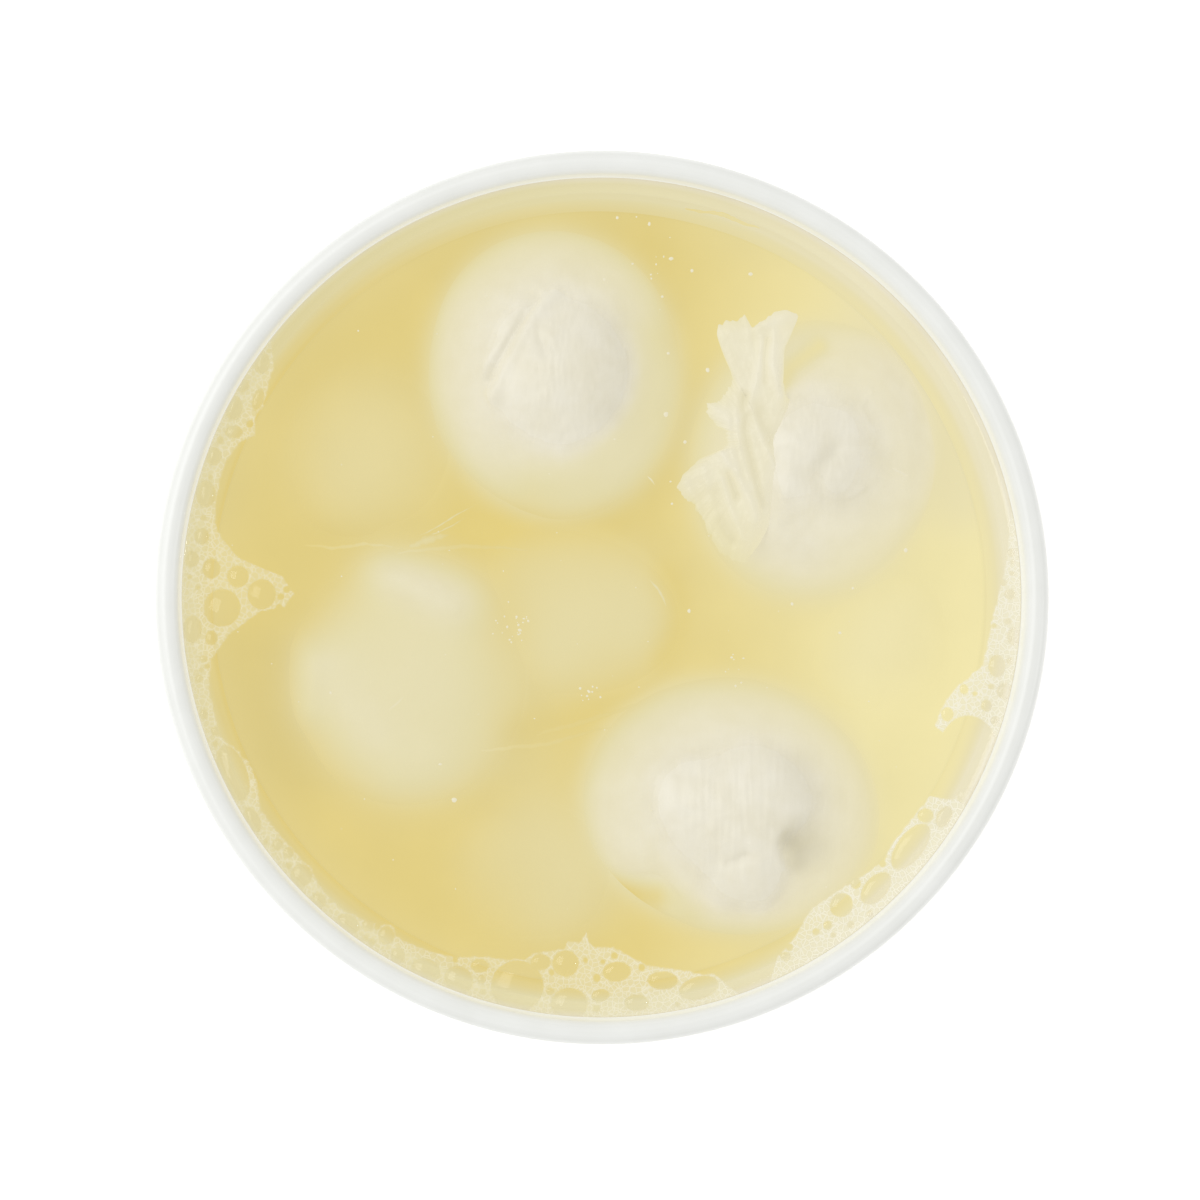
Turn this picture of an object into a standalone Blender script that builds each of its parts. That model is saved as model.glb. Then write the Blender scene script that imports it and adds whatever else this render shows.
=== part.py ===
"""Burrata in whey: an open round tub, the whey that fills it, and the three balls that break the surface.

Metres, +Z up. The origin is the centre of the tub's base, which stands on z = 0. +Y is the top of the view
from above and +X its right. All sizes below are in millimetres until MM turns them into metres.
"""

import math

import bmesh
import bpy
from mathutils import Matrix
from mathutils import Vector
from mathutils import noise

MM = 0.001
GAP = 0.3  # clear space between two pieces that touch

# The tub: a thin moulded wall with a stacking ledge near the top and a rolled rim.
RIM_RADIUS = 96.0
RIM_WIDTH = 5.1
TUB_HEIGHT = 108.0
WALL = 1.3
BASE_THICKNESS = 1.5
FLOOR_RADIUS = 80.0  # inner wall where it meets the floor's rounding
LEDGE_RADIUS = 87.8  # inner wall just under the ledge
LEDGE_WIDTH = 2.0
LEDGE_HEIGHT = 94.5
LEDGE_ROUNDING = 0.6
HEEL_ROUNDING = 6.0
SKIRT_DEPTH = 9.0
SKIRT_THICKNESS = 1.1
SKIRT_ROUNDING = 0.4
TURN_STEPS = 64

# The whey stands just under the rim, and the crowns stand just out of the whey.
WHEY_LEVEL = 101.0

# Every ball: the mesh, and the slow lumps of its skin.
BALL_SEGMENTS = 40
BALL_RINGS = 20
CROWN_DENSITY = 1.35  # above 1 the rings of a ball lie closer together at its crown
LUMP_SIZE = 21.0
LUMP_HEIGHT = 0.9
LUMP_SINK = 0.55  # keeps the lumps inside the ball's plain form, as a share of their height
CUTTER_SEGMENTS = 28
CUTTER_RINGS = 16
CUTTER_CHORD = 0.25  # a coarse cutter's flats lie this much inside its true surface

# Each ball: its centre in plan, its half sizes along X, Y and Z, how far its crown stands out of the whey, and
# its turn about Z in degrees. A furrow is its start and end in plan from the ball's centre, its half width and
# its depth. A dimple is its centre, half width and depth, which is negative where the skin swells instead.
CREASED_BALL = {
    "centre": (-9.8, 49.2),
    "half": (28.2, 32.1, 24.5),
    "crown": 4.2,
    "turn": 8.0,
    "seed": 11,
    "furrows": [((-2.9, 16.4), (-14.3, 0.9), 1.7, 1.1), ((-2.3, 6.4), (-2.0, 2.7), 1.6, 0.6)],
    "dimples": [],
}
NECKED_BALL = {
    "centre": (46.4, 30.0),
    "half": (27.2, 31.0, 24.0),
    "crown": 1.9,
    "turn": -6.0,
    "seed": 23,
    "furrows": [((-9.0, 17.0), (0.5, 26.0), 2.2, 2.6)],
    "dimples": [((-0.5, -3.5), 4.0, 0.9), ((3.5, 3.5), 4.5, 0.7), ((1.5, -14.0), 5.0, 0.8)],
}
DIMPLED_BALL = {
    "centre": (28.8, -45.8),
    "half": (33.0, 28.2, 24.0),
    "crown": 4.0,
    "turn": -14.0,
    "seed": 37,
    "furrows": [((-1.0, -11.5), (4.5, -9.0), 1.9, 1.0)],
    "dimples": [
        ((16.0, -5.4), 4.6, 2.4),
        ((-14.0, -23.0), 4.6, 3.4),
        ((-8.0, 11.0), 8.0, 1.3),
        ((7.5, -12.5), 7.0, -1.7),
    ],
}

# The gathered neck of one ball: a torn sheet of pleats spread on the whey, which runs into the ball's flank.
NECK_THROAT = (36.0, 34.0)
NECK_THICKNESS = 4.8
NECK_TOP = 1.6  # the pleats' ridges over the whey level
NECK_DROOP = 1.7  # how far the edge hangs below the throat
NECK_BURIED_SIDE = -15.0  # middle of the side that runs into the ball, in degrees from +X
NECK_PLEATS = 17
PLEAT_HEIGHT = 0.5
PLEAT_SWAY = 1.7  # how unevenly the pleats are spaced, in radians
NECK_SEGMENTS = 84
NECK_RINGS = 10
NECK_WELL = 5.9  # depth of the hole in the whey that the neck lies in
# The neck's torn edge: directions from the throat in degrees from +X, and how far it reaches there.
NECK_EDGE = [
    (60, 10.8), (66, 14.0), (70, 22.0), (78, 29.0), (94, 25.4), (98, 24.4), (101, 27.0), (114, 26.4), (120, 15.5),
    (133, 13.5), (150, 15.2), (168, 9.4), (186, 9.2), (192, 10.6), (196, 15.5), (206, 22.0), (221, 21.2), (237, 24.0),
    (255, 27.4), (264, 23.0), (272, 17.0), (288, 11.0), (323, 7.4), (360, 6.8), (393, 8.0), (420, 10.8),
]


def clear_scene():
    for item in list(bpy.data.objects):
        bpy.data.objects.remove(item, do_unlink=True)


def new_collection(name):
    collection = bpy.data.collections.new(name)
    bpy.context.scene.collection.children.link(collection)
    return collection


def new_material(name, colour, roughness):
    material = bpy.data.materials.new(name)
    material.use_nodes = True
    shader = material.node_tree.nodes["Principled BSDF"]
    shader.inputs["Base Color"].default_value = (*colour, 1.0)
    shader.inputs["Roughness"].default_value = roughness
    shader.inputs["Metallic"].default_value = 0.0
    return material


def new_object(name, mesh, collection, material=None):
    item = bpy.data.objects.new(name, mesh)
    collection.objects.link(item)
    if material:
        mesh.materials.append(material)
    return item


def arc(centre, radius, start, end, steps):
    """Points of an arc in the profile plane, from angle start to end in degrees."""
    points = []
    for i in range(steps + 1):
        angle = math.radians(start + (end - start) * i / steps)
        points.append((centre[0] + radius * math.cos(angle), centre[1] + radius * math.sin(angle)))
    return points


def inner_wall(inset):
    """The tub's inner profile from the floor up to the top of the ledge, moved inwards by inset."""
    rounding = HEEL_ROUNDING - WALL
    floor = BASE_THICKNESS + inset
    heel = arc((FLOOR_RADIUS - inset - rounding, floor + rounding), rounding, -90, 0, 4)
    near = LEDGE_RADIUS - inset
    far = near + LEDGE_WIDTH
    ledge = [
        (near, LEDGE_HEIGHT - LEDGE_ROUNDING),
        (near + LEDGE_ROUNDING, LEDGE_HEIGHT + inset),
        (far, LEDGE_HEIGHT + LEDGE_ROUNDING + inset),
    ]
    return [(0.0, floor)] + heel + ledge


def tub_profile():
    """From the axis along the floor, up the inner wall, over the rim, down the outside and back to the axis."""
    curl = RIM_WIDTH / 2
    curl_height = TUB_HEIGHT - curl
    skirt_low = TUB_HEIGHT - SKIRT_DEPTH
    skirt_in = RIM_RADIUS - SKIRT_THICKNESS
    rim = arc((RIM_RADIUS - curl, curl_height), curl, 180, 0, 8)
    skirt = [
        (RIM_RADIUS, skirt_low + SKIRT_ROUNDING),
        (RIM_RADIUS - SKIRT_ROUNDING, skirt_low),
        (skirt_in, skirt_low),
    ]
    channel = [
        (skirt_in, curl_height - SKIRT_ROUNDING),
        (skirt_in - 2 * SKIRT_ROUNDING, curl_height + SKIRT_ROUNDING),
        (RIM_RADIUS - RIM_WIDTH + WALL, curl_height + SKIRT_ROUNDING),
    ]
    shoulder = [
        (LEDGE_RADIUS + LEDGE_WIDTH + WALL, LEDGE_HEIGHT + LEDGE_ROUNDING - WALL),
        (LEDGE_RADIUS + WALL, LEDGE_HEIGHT - LEDGE_ROUNDING - WALL),
    ]
    heel = arc((FLOOR_RADIUS + WALL - HEEL_ROUNDING, HEEL_ROUNDING), HEEL_ROUNDING, 0, -90, 5)
    return inner_wall(0.0) + rim + skirt + channel + shoulder + heel + [(0.0, 0.0)]


def whey_profile():
    """From the axis along the level, down beside the wall and back to the axis under the whey."""
    wall = inner_wall(GAP)
    ledge_top = wall[-1]
    rim_inner = RIM_RADIUS - RIM_WIDTH - GAP
    share = (WHEY_LEVEL - ledge_top[1]) / (TUB_HEIGHT - RIM_WIDTH / 2 - ledge_top[1])
    edge = ledge_top[0] + (rim_inner - ledge_top[0]) * share
    return [(0.0, WHEY_LEVEL), (edge, WHEY_LEVEL)] + wall[::-1]


def turned_object(name, profile, collection, material):
    mesh = bpy.data.meshes.new(name)
    vertices = [(radius * MM, 0.0, height * MM) for radius, height in profile]
    edges = [(i, i + 1) for i in range(len(vertices) - 1)]
    mesh.from_pydata(vertices, edges, [])
    item = new_object(name, mesh, collection, material)
    screw = item.modifiers.new("turn", "SCREW")
    screw.axis = "Z"
    screw.angle = math.tau
    screw.steps = TURN_STEPS
    screw.render_steps = TURN_STEPS
    screw.use_merge_vertices = True
    screw.merge_threshold = 0.00001
    screw.use_smooth_shade = True
    return item


def distance_to_segment(point, start, end):
    along = end - start
    share = max(0.0, min(1.0, (point - start).dot(along) / along.length_squared))
    return (point - start - along * share).length


def relief(ball, plan, swells_only):
    """How deep the furrows and dimples cut at a point of the upper side, in plan from the ball's centre."""
    depth = 0.0
    for start, end, width, deep in ball["furrows"]:
        apart = distance_to_segment(plan, Vector(start), Vector(end))
        depth += (0.0 if swells_only else deep) * math.exp(-((apart / width) ** 2))
    for centre, width, deep in ball["dimples"]:
        apart = (plan - Vector(centre)).length
        depth += (min(0.0, deep) if swells_only else deep) * math.exp(-((apart / width) ** 2))
    return depth


def ball_point(ball, direction, grow, with_relief):
    """The surface point in a unit direction from the ball's centre, in millimetres. Swells are always in it."""
    half = ball["half"]
    polar = math.acos(max(-1.0, min(1.0, direction.z)))
    polar = math.pi * (polar / math.pi) ** CROWN_DENSITY
    around = math.atan2(direction.y, direction.x)
    unit = Vector((math.sin(polar) * math.cos(around), math.sin(polar) * math.sin(around), math.cos(polar)))
    point = Vector((unit.x * half[0], unit.y * half[1], unit.z * half[2]))
    outward = Vector((unit.x / half[0], unit.y / half[1], unit.z / half[2])).normalized()
    upper_side = min(1.0, max(0.0, unit.z) * 3)
    rise = grow - relief(ball, point.xy, not with_relief) * upper_side
    if with_relief:
        rise += LUMP_HEIGHT * (noise.noise(point / LUMP_SIZE + Vector((ball["seed"], 0.0, 0.0))) - LUMP_SINK)
    point += outward * rise
    middle = WHEY_LEVEL + ball["crown"] - half[2]
    turned = Matrix.Rotation(math.radians(ball["turn"]), 3, "Z") @ point
    return turned + Vector((*ball["centre"], middle))


def shaped_sphere(name, segments, rings, place, collection, material=None):
    """A sphere whose points are moved by place, which takes a unit direction and gives millimetres."""
    mesh = bpy.data.meshes.new(name)
    shape = bmesh.new()
    bmesh.ops.create_uvsphere(shape, u_segments=segments, v_segments=rings, radius=1.0)
    for vertex in shape.verts:
        vertex.co = place(vertex.co.normalized()) * MM
    bmesh.ops.triangulate(shape, faces=shape.faces)
    shape.to_mesh(mesh)
    shape.free()
    mesh.shade_smooth()
    return new_object(name, mesh, collection, material)


def neck_reach(around):
    """How far the neck reaches in a direction from the throat, in degrees from +X."""
    first = NECK_EDGE[0][0]
    around = (around - first) % 360 + first
    for (start, near), (end, far) in zip(NECK_EDGE, NECK_EDGE[1:]):
        if around <= end:
            break
    return near + (far - near) * (around - start) / (end - start)


def neck_open_share(around):
    """1 on the neck's open side and 0 on the side that is buried in the ball."""
    return min(1.0, max(0.0, 1.2 - 2.2 * math.cos(math.radians(around - NECK_BURIED_SIDE))))


def neck_plan(angle, outwards, grow):
    """A point of the neck in plan: outwards is 0 at the throat and 1 at the torn edge, which grows by its slope."""
    around = math.degrees(angle)
    reach = neck_reach(around)
    slope = (neck_reach(around + 1) - neck_reach(around - 1)) / math.radians(2) / reach
    spread = (reach + grow * math.hypot(1, slope)) * outwards
    return NECK_THROAT[0] + spread * math.cos(angle), NECK_THROAT[1] + spread * math.sin(angle)


def neck_point(direction):
    """A point of the neck: the sphere's upper half is its top face and the lower half its underside."""
    angle = math.atan2(direction.y, direction.x)
    outwards = 1.0 - abs(math.asin(max(-1.0, min(1.0, direction.z)))) / (math.pi / 2)
    height = NECK_TOP - NECK_DROOP * outwards**2
    if direction.z < 0:
        height -= NECK_THICKNESS * math.sqrt(max(0.0, 1.0 - outwards**4))
    pleat = math.sin(angle * NECK_PLEATS + PLEAT_SWAY * math.sin(angle * 3)) - 1.0
    height += PLEAT_HEIGHT * pleat * min(1.0, outwards * 1.5) * neck_open_share(math.degrees(angle))
    return Vector((*neck_plan(angle, outwards, 0.0), WHEY_LEVEL + height))


def hide_cutter(item):
    item.hide_render = True
    item.display_type = "WIRE"
    return item


def add_boolean(item, operation, other):
    boolean = item.modifiers.new(other.name, "BOOLEAN")
    boolean.operation = operation
    boolean.solver = "EXACT"
    boolean.object = other


def build_ball(name, ball, collection, material):
    return shaped_sphere(
        name, BALL_SEGMENTS, BALL_RINGS, lambda way: ball_point(ball, way, 0.0, True), collection, material
    )


def build_ball_cutter(name, ball, collection):
    """The ball's plain form, grown by the gap."""
    grow = GAP + CUTTER_CHORD
    cutter = shaped_sphere(
        name, CUTTER_SEGMENTS, CUTTER_RINGS, lambda way: ball_point(ball, way, grow, False), collection
    )
    return hide_cutter(cutter)


def build_neck(collection):
    return hide_cutter(shaped_sphere("neck", NECK_SEGMENTS, NECK_RINGS, neck_point, collection))


def build_neck_cutter(collection):
    """A prism of the neck's outline, from above the whey down to the neck's underside."""
    mesh = bpy.data.meshes.new("neck_space")
    shape = bmesh.new()
    bmesh.ops.create_cone(
        shape, cap_ends=True, segments=NECK_SEGMENTS, radius1=1.0, radius2=1.0, depth=2.0
    )
    for vertex in shape.verts:
        plan = neck_plan(math.atan2(vertex.co.y, vertex.co.x), 1.0, GAP)
        height = WHEY_LEVEL + (NECK_TOP if vertex.co.z > 0 else -NECK_WELL)
        vertex.co = Vector((*plan, height)) * MM
    bmesh.ops.triangulate(shape, faces=shape.faces)
    shape.to_mesh(mesh)
    shape.free()
    return hide_cutter(new_object("neck_space", mesh, collection))


def build():
    clear_scene()
    parts = new_collection("burrata_in_whey")
    cutters = new_collection("cutters")
    plastic = new_material("white_plastic", (0.86, 0.87, 0.85), 0.35)
    curd = new_material("white_curd", (0.88, 0.85, 0.74), 0.4)
    liquid = new_material("yellow_whey", (0.78, 0.66, 0.28), 0.15)

    turned_object("tub", tub_profile(), parts, plastic)
    whey = turned_object("whey", whey_profile(), parts, liquid)

    balls = {"burrata_creased": CREASED_BALL, "burrata_necked": NECKED_BALL, "burrata_dimpled": DIMPLED_BALL}
    for name, ball in balls.items():
        item = build_ball(name, ball, parts, curd)
        add_boolean(whey, "DIFFERENCE", build_ball_cutter(name + "_space", ball, cutters))
        if ball is NECKED_BALL:
            add_boolean(item, "UNION", build_neck(cutters))
            add_boolean(whey, "DIFFERENCE", build_neck_cutter(cutters))
    whey.modifiers.new("even_shading", "WEIGHTED_NORMAL")


build()
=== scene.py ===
"""Looks of the open tub of burrata in whey: fine shells, wet curd, cloudy whey, foam, floor, light and camera.

Sizes are in millimetres until MM turns them into metres. +Y is the top of the view from above and +X its right.
The first group of sizes repeats those of the solids, so that each fine piece keeps the form it stands for.
"""

import math

import bmesh
import bpy
import numpy as np
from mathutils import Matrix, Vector
from mathutils import noise


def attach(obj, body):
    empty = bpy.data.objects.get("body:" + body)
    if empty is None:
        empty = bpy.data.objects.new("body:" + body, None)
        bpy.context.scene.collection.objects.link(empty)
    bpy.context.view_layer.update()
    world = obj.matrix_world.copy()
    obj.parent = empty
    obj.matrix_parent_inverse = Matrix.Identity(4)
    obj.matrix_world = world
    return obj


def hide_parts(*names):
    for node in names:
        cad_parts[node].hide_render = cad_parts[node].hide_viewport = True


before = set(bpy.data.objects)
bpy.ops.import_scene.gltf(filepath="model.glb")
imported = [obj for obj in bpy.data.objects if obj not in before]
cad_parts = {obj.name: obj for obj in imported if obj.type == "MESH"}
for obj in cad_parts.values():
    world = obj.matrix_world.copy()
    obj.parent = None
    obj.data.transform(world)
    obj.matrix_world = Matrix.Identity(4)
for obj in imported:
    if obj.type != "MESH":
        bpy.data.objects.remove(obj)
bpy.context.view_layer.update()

MM = 0.001

# The tub, as in the solids.
RIM_RADIUS = 96.0
RIM_WIDTH = 5.1
TUB_HEIGHT = 108.0
WALL = 1.3
BASE_THICKNESS = 1.5
FLOOR_RADIUS = 80.0
LEDGE_RADIUS = 87.8
LEDGE_WIDTH = 2.0
LEDGE_HEIGHT = 94.5
LEDGE_ROUNDING = 0.6
HEEL_ROUNDING = 6.0
HEEL_TOP = BASE_THICKNESS + HEEL_ROUNDING - WALL  # where the inner wall's straight part starts
HEEL_BEND = 0.11  # about how the wall turns in below that, by the square of the height
WALL_LEAN = (LEDGE_RADIUS - FLOOR_RADIUS) / (LEDGE_HEIGHT - HEEL_TOP)
SKIRT_DEPTH = 9.0
SKIRT_THICKNESS = 1.1
SKIRT_ROUNDING = 0.4
TUB_STEPS = 256

# The whey, as in the solids.
WHEY_LEVEL = 101.0
GAP = 0.3  # between the whey and the tub's wall
WHEY_EDGE = 90.4  # radius of the tub's inner wall at the level

# The balls' skin and plan, as in the solids. A furrow is its start and end in plan from the ball's centre before the
# ball is turned, its half width and its depth; a dimple is its centre, half width and depth, negative if it swells.
CROWN_DENSITY = 1.35
LUMP_SIZE = 21.0
LUMP_HEIGHT = 0.9
LUMP_SINK = 0.55
CREASED_BALL = {
    "centre": (-9.8, 49.2),
    "half": (28.2, 32.1, 24.5),
    "crown": 4.2,
    "turn": 8.0,
    "seed": 11,
    "furrows": [((-2.9, 16.4), (-14.3, 0.9), 1.7, 1.1), ((-2.3, 6.4), (-2.0, 2.7), 1.6, 0.6)],
    "dimples": [],
}
NECKED_BALL = {
    "centre": (46.4, 30.0),
    "half": (27.2, 31.0, 24.0),
    "crown": 1.9,
    "turn": -6.0,
    "seed": 23,
    "furrows": [((-9.0, 17.0), (0.5, 26.0), 2.2, 2.6)],
    "dimples": [((-0.5, -3.5), 4.0, 0.9), ((3.5, 3.5), 4.5, 0.7), ((1.5, -14.0), 5.0, 0.8)],
}
DIMPLED_BALL = {
    "centre": (28.8, -45.8),
    "half": (33.0, 28.2, 24.0),
    "crown": 4.0,
    "turn": -14.0,
    "seed": 37,
    "furrows": [((-1.0, -11.5), (4.5, -9.0), 1.9, 1.0)],
    "dimples": [
        ((16.0, -5.4), 4.6, 2.4),
        ((-14.0, -23.0), 4.6, 3.4),
        ((-8.0, 11.0), 8.0, 1.3),
        ((7.5, -12.5), 7.0, -1.7),
    ],
}

SURFACE_BALLS = (CREASED_BALL, NECKED_BALL, DIMPLED_BALL)

# Fine relief on the crowns, in view axes from each ball's centre: a line, its half width, and its height, which is
# negative where it is pressed in.
CREASE = [(-3.9, 15.5), (-6.6, 12.1), (-9.7, 7.4), (-13.1, 1.3), (-14.7, -1.8)]
CREASED_LINES = [
    (CREASE, 0.6, -0.25),
    ([(-3.9, 15.5), (-9.7, 7.4), (-14.3, -0.4)], 1.8, 0.4),
    ([(-5.8, 15.9), (-8.0, 12.8), (-11.2, 7.4), (-15.0, 2.0), (-16.0, -1.8)], 1.1, 0.3),
    ([(-0.4, 16.7), (-4.6, 12.1), (-8.3, 6.7), (-11.4, 1.3), (-13.8, -5.7)], 1.6, 0.6),
    ([(-13.8, -4.7), (-13.5, -7.1)], 1.8, 0.35),
    ([(-1.6, 6.6), (-2.4, 2.4)], 1.6, 0.35),
    ([(-3.0, 5.4), (-2.4, 3.0)], 0.8, -0.15),
]
NECKED_LINES = [
    ([(-5.7, 3.8), (-1.4, 1.1)], 2.4, 0.6),
    ([(-6.2, -3.7), (-7.3, -12.3)], 2.2, 0.55),
    ([(4.5, 2.1), (0.2, -4.0), (2.9, -10.2)], 1.8, -0.4),
    ([(12.0, 14.5), (9.4, 11.0), (12.4, 6.0)], 0.6, 0.25),
    ([(10.4, -6.4), (7.0, -8.5)], 0.7, 0.3),
    ([(8.8, 1.6), (15.7, 1.1)], 0.8, 0.2),
]
DIMPLED_LINES = [
    ([(-14.1, 0.3), (-13.0, -4.0), (-10.0, -8.3), (-6.8, -10.5), (-6.0, -13.1)], 2.2, 0.35),
    ([(9.0, -5.4), (8.6, -8.6), (9.8, -11.6), (12.2, -13.8)], 1.3, 0.55),
    ([(11.6, -5.6), (11.2, -8.8), (12.6, -11.4)], 1.3, -0.5),
    ([(19.5, -4.0), (20.5, -8.5), (18.5, -13.5)], 5.0, -1.5),
    ([(-3.7, -10.9), (2.2, -9.8)], 1.9, 0.45),
    ([(-1.6, -11.4), (0.2, -11.0), (2.0, -9.6)], 0.8, -0.28),
    ([(-2.0, -19.4), (5.5, -19.6)], 5.0, 2.0),
    ([(-25.0, -17.0), (-15.0, -20.4)], 2.2, -2.0),
]
# Painted shade where the curd lies in its own shade, in creases and dents and on the side turned from the light: a
# line, its half width, and how dark it is.
CREASED_PAINTED_SHADES = [
    ([(13.0, 9.0), (15.0, 0.0), (12.5, -9.0)], 5.0, 0.06),
    ([(2.0, 6.0), (3.0, -5.0)], 8.0, 0.03),
    (CREASE, 0.9, 0.06),
    ([(-3.0, 5.4), (-2.4, 3.2)], 1.3, 0.05),
]
NECKED_PAINTED_SHADES = [
    ([(2.5, 1.0), (1.0, -4.0), (4.0, -9.0)], 3.0, 0.05),
    ([(9.0, 4.0), (9.0, -6.0)], 6.0, 0.03),
]
DIMPLED_PAINTED_SHADES = [
    ([(11.4, -6.4), (13.4, -9.0), (13.6, -11.6)], 2.3, 0.17),
    ([(15.0, -6.5), (16.6, -9.0)], 3.8, 0.12),
    ([(14.5, 9.0), (17.5, 1.0), (17.5, -6.0)], 5.0, 0.07),
    ([(-1.6, -11.4), (1.8, -9.7)], 1.0, 0.07),
]
# Where more of the whey's colour is painted on a ball's flank, or less: partly whey in notches, partly painted shade
# in furrows and on flanks turned from the light, and painted light on flanks turned to it. A line, its half width, and
# the share added.
CREASED_COVER_AND_PAINTED_LIGHT = [
    ([(21.0, 6.0), (18.0, -8.0), (6.0, -22.0), (-4.0, -25.0)], 6.5, 0.2),
    ([(-22.0, 14.0), (-24.0, -2.0), (-18.0, -16.0)], 7.0, -0.08),
]
NECKED_COVER_AND_PAINTED_LIGHT = [
    ([(-8.4, 15.0), (-5.0, 20.0), (1.0, 24.5)], 2.0, 0.42),
    ([(-18.0, -8.0), (-13.0, -17.0), (-3.0, -21.0)], 6.0, -0.16),
    ([(16.0, 14.0), (20.0, 4.0), (19.0, -8.0)], 8.0, -0.07),
]
DIMPLED_COVER_AND_PAINTED_LIGHT = [
    ([(-27.0, -18.0), (-17.0, -19.0)], 3.0, 0.42),
    ([(-12.0, -19.5), (-9.0, -22.0)], 3.0, 0.12),
    ([(-3.0, -17.0), (6.0, -18.5)], 6.0, -0.14),
    ([(-27.0, 2.0), (-24.0, -8.0)], 6.0, -0.08),
]

BALL_SEGMENTS = 260
BALL_RINGS = 170


# ---------------------------------------------------------------------------------------------- meshes


def grid_faces(rows, columns, wrap=True):
    """Quads of a grid of points that is stored row by row; wrap joins the end of each row to its start."""
    across = columns if wrap else columns - 1
    row, column = np.meshgrid(np.arange(rows - 1), np.arange(across), indexing="ij")
    near = row * columns + column
    aside = row * columns + (column + 1) % columns
    return np.stack([near, aside, aside + columns, near + columns], -1).reshape(-1, 4)


def capped_rings(rings, first, last):
    """A closed surface of rings, an array of rows x columns x 3 that closes on one point at each end."""
    rows, columns, _ = rings.shape
    points = np.vstack([rings.reshape(-1, 3), [first], [last]])
    faces = grid_faces(rows, columns).tolist()
    start = rows * columns
    below = (rows - 1) * columns
    for column in range(columns):
        aside = (column + 1) % columns
        faces.append([start, aside, column])
        faces.append([start + 1, below + column, below + aside])
    return points, faces


def polar_rings(radii, heights, steps):
    """Rings of points round the axis: radii has one row for each ring, with one radius or one for each point."""
    angles = np.linspace(0, math.tau, steps, endpoint=False)
    radii = np.reshape(radii, (len(radii), -1))
    rings = np.empty((len(radii), steps, 3))
    rings[:, :, 0] = radii * np.cos(angles)
    rings[:, :, 1] = radii * np.sin(angles)
    rings[:, :, 2] = np.reshape(heights, (-1, 1))
    return rings


def add_piece(mesh, material):
    """A smooth object of a mesh, which belongs to the part."""
    mesh.shade_smooth()
    mesh.materials.append(material)
    item = bpy.data.objects.new(mesh.name, mesh)
    bpy.context.scene.collection.objects.link(item)
    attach(item, "root")
    return item


def new_piece(name, points, faces, material, closed=True):
    """An object from points in millimetres; a closed one is turned to face out."""
    mesh = bpy.data.meshes.new(name)
    mesh.from_pydata((points * MM).tolist(), [], faces)
    if closed and signed_volume(mesh) < 0:
        mesh.flip_normals()
    return add_piece(mesh, material)


def signed_volume(mesh):
    """Volume of a closed mesh, negative where its faces look in."""
    mesh.calc_loop_triangles()
    count = len(mesh.loop_triangles)
    corners = np.empty(count * 3, np.int32)
    mesh.loop_triangles.foreach_get("vertices", corners)
    places = np.empty(len(mesh.vertices) * 3, np.float32)
    mesh.vertices.foreach_get("co", places)
    a, b, c = places.reshape(-1, 3)[corners.reshape(-1, 3)].astype(float).transpose(1, 0, 2)
    return np.einsum("ij,ij->i", a, np.cross(b, c)).sum() / 6


def set_attribute(item, name, values):
    """Gives each point of the mesh a value that its material reads."""
    attribute = item.data.attributes.new(name, "FLOAT", "POINT")
    attribute.data.foreach_set("value", np.asarray(values, np.float32))


def noise_at(points, size, seed):
    """Smooth noise from about -1 to 1 at each point, in space or in plan."""
    scaled = np.zeros((len(points), 3))
    scaled[:, :points.shape[1]] = points / size
    scaled[:, 0] += seed
    return np.array([noise.noise(point) for point in scaled.tolist()])


def distance_to_line(plan, line):
    """Distance from each point to a line of several points."""
    nearest = np.full(len(plan), np.inf)
    for start, end in zip(np.array(line[:-1]), np.array(line[1:])):
        along = end - start
        share = np.clip((plan - start) @ along / (along @ along), 0, 1)
        apart = plan - start - share[:, None] * along
        nearest = np.minimum(nearest, np.hypot(apart[:, 0], apart[:, 1]))
    return nearest


def relief(plan, lines):
    """Sum of the lines' heights at points in plan."""
    height = np.zeros(len(plan))
    for line, width, rise in lines:
        height += rise * np.exp(-((distance_to_line(plan, line) / width) ** 2))
    return height


def in_own_axes(plan, centre, degrees):
    """Points in plan as seen from a thing with this centre that is turned by so many degrees."""
    turn = math.radians(degrees)
    apart = plan - np.array(centre)
    return np.column_stack([apart[:, 0] * math.cos(turn) + apart[:, 1] * math.sin(turn),
                            apart[:, 1] * math.cos(turn) - apart[:, 0] * math.sin(turn)])


def value_towards(stops, degrees):
    """Value in each direction, from (direction in degrees, value) stops that go on round from the first."""
    stops = np.array(stops, float)
    return np.interp((degrees - stops[0, 0]) % 360 + stops[0, 0], stops[:, 0], stops[:, 1])


def arc(centre, radius, start, end, steps):
    """Points of an arc in the profile plane, from angle start to end in degrees."""
    angles = np.radians(np.linspace(start, end, steps + 1))
    return [(centre[0] + radius * math.cos(a), centre[1] + radius * math.sin(a)) for a in angles]


def turned(profile, steps):
    """The closed surface of a profile that starts and ends on the axis."""
    radii, heights = np.transpose(profile[1:-1])
    return capped_rings(polar_rings(radii, heights, steps), (0, 0, profile[0][1]), (0, 0, profile[-1][1]))


# ---------------------------------------------------------------------------------------------- materials


def colour_of(red, green, blue):
    """Linear colour from 0 to 255 values as a picture shows them."""
    linear = [((v / 255 + 0.055) / 1.055) ** 2.4 for v in (red, green, blue)]
    return (*linear, 1.0)


def set_inputs(tree, item, sockets):
    """Sets a node's inputs to values, or links them from output sockets."""
    for name, value in sockets.items():
        if isinstance(value, bpy.types.NodeSocket):
            tree.links.new(value, item.inputs[name])
        else:
            item.inputs[name].default_value = value


def add_node(tree, kind, sockets=None, **settings):
    """A node with its settings and inputs."""
    item = tree.nodes.new(kind)
    for name, value in settings.items():
        setattr(item, name, value)
    set_inputs(tree, item, sockets or {})
    return item


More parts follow.
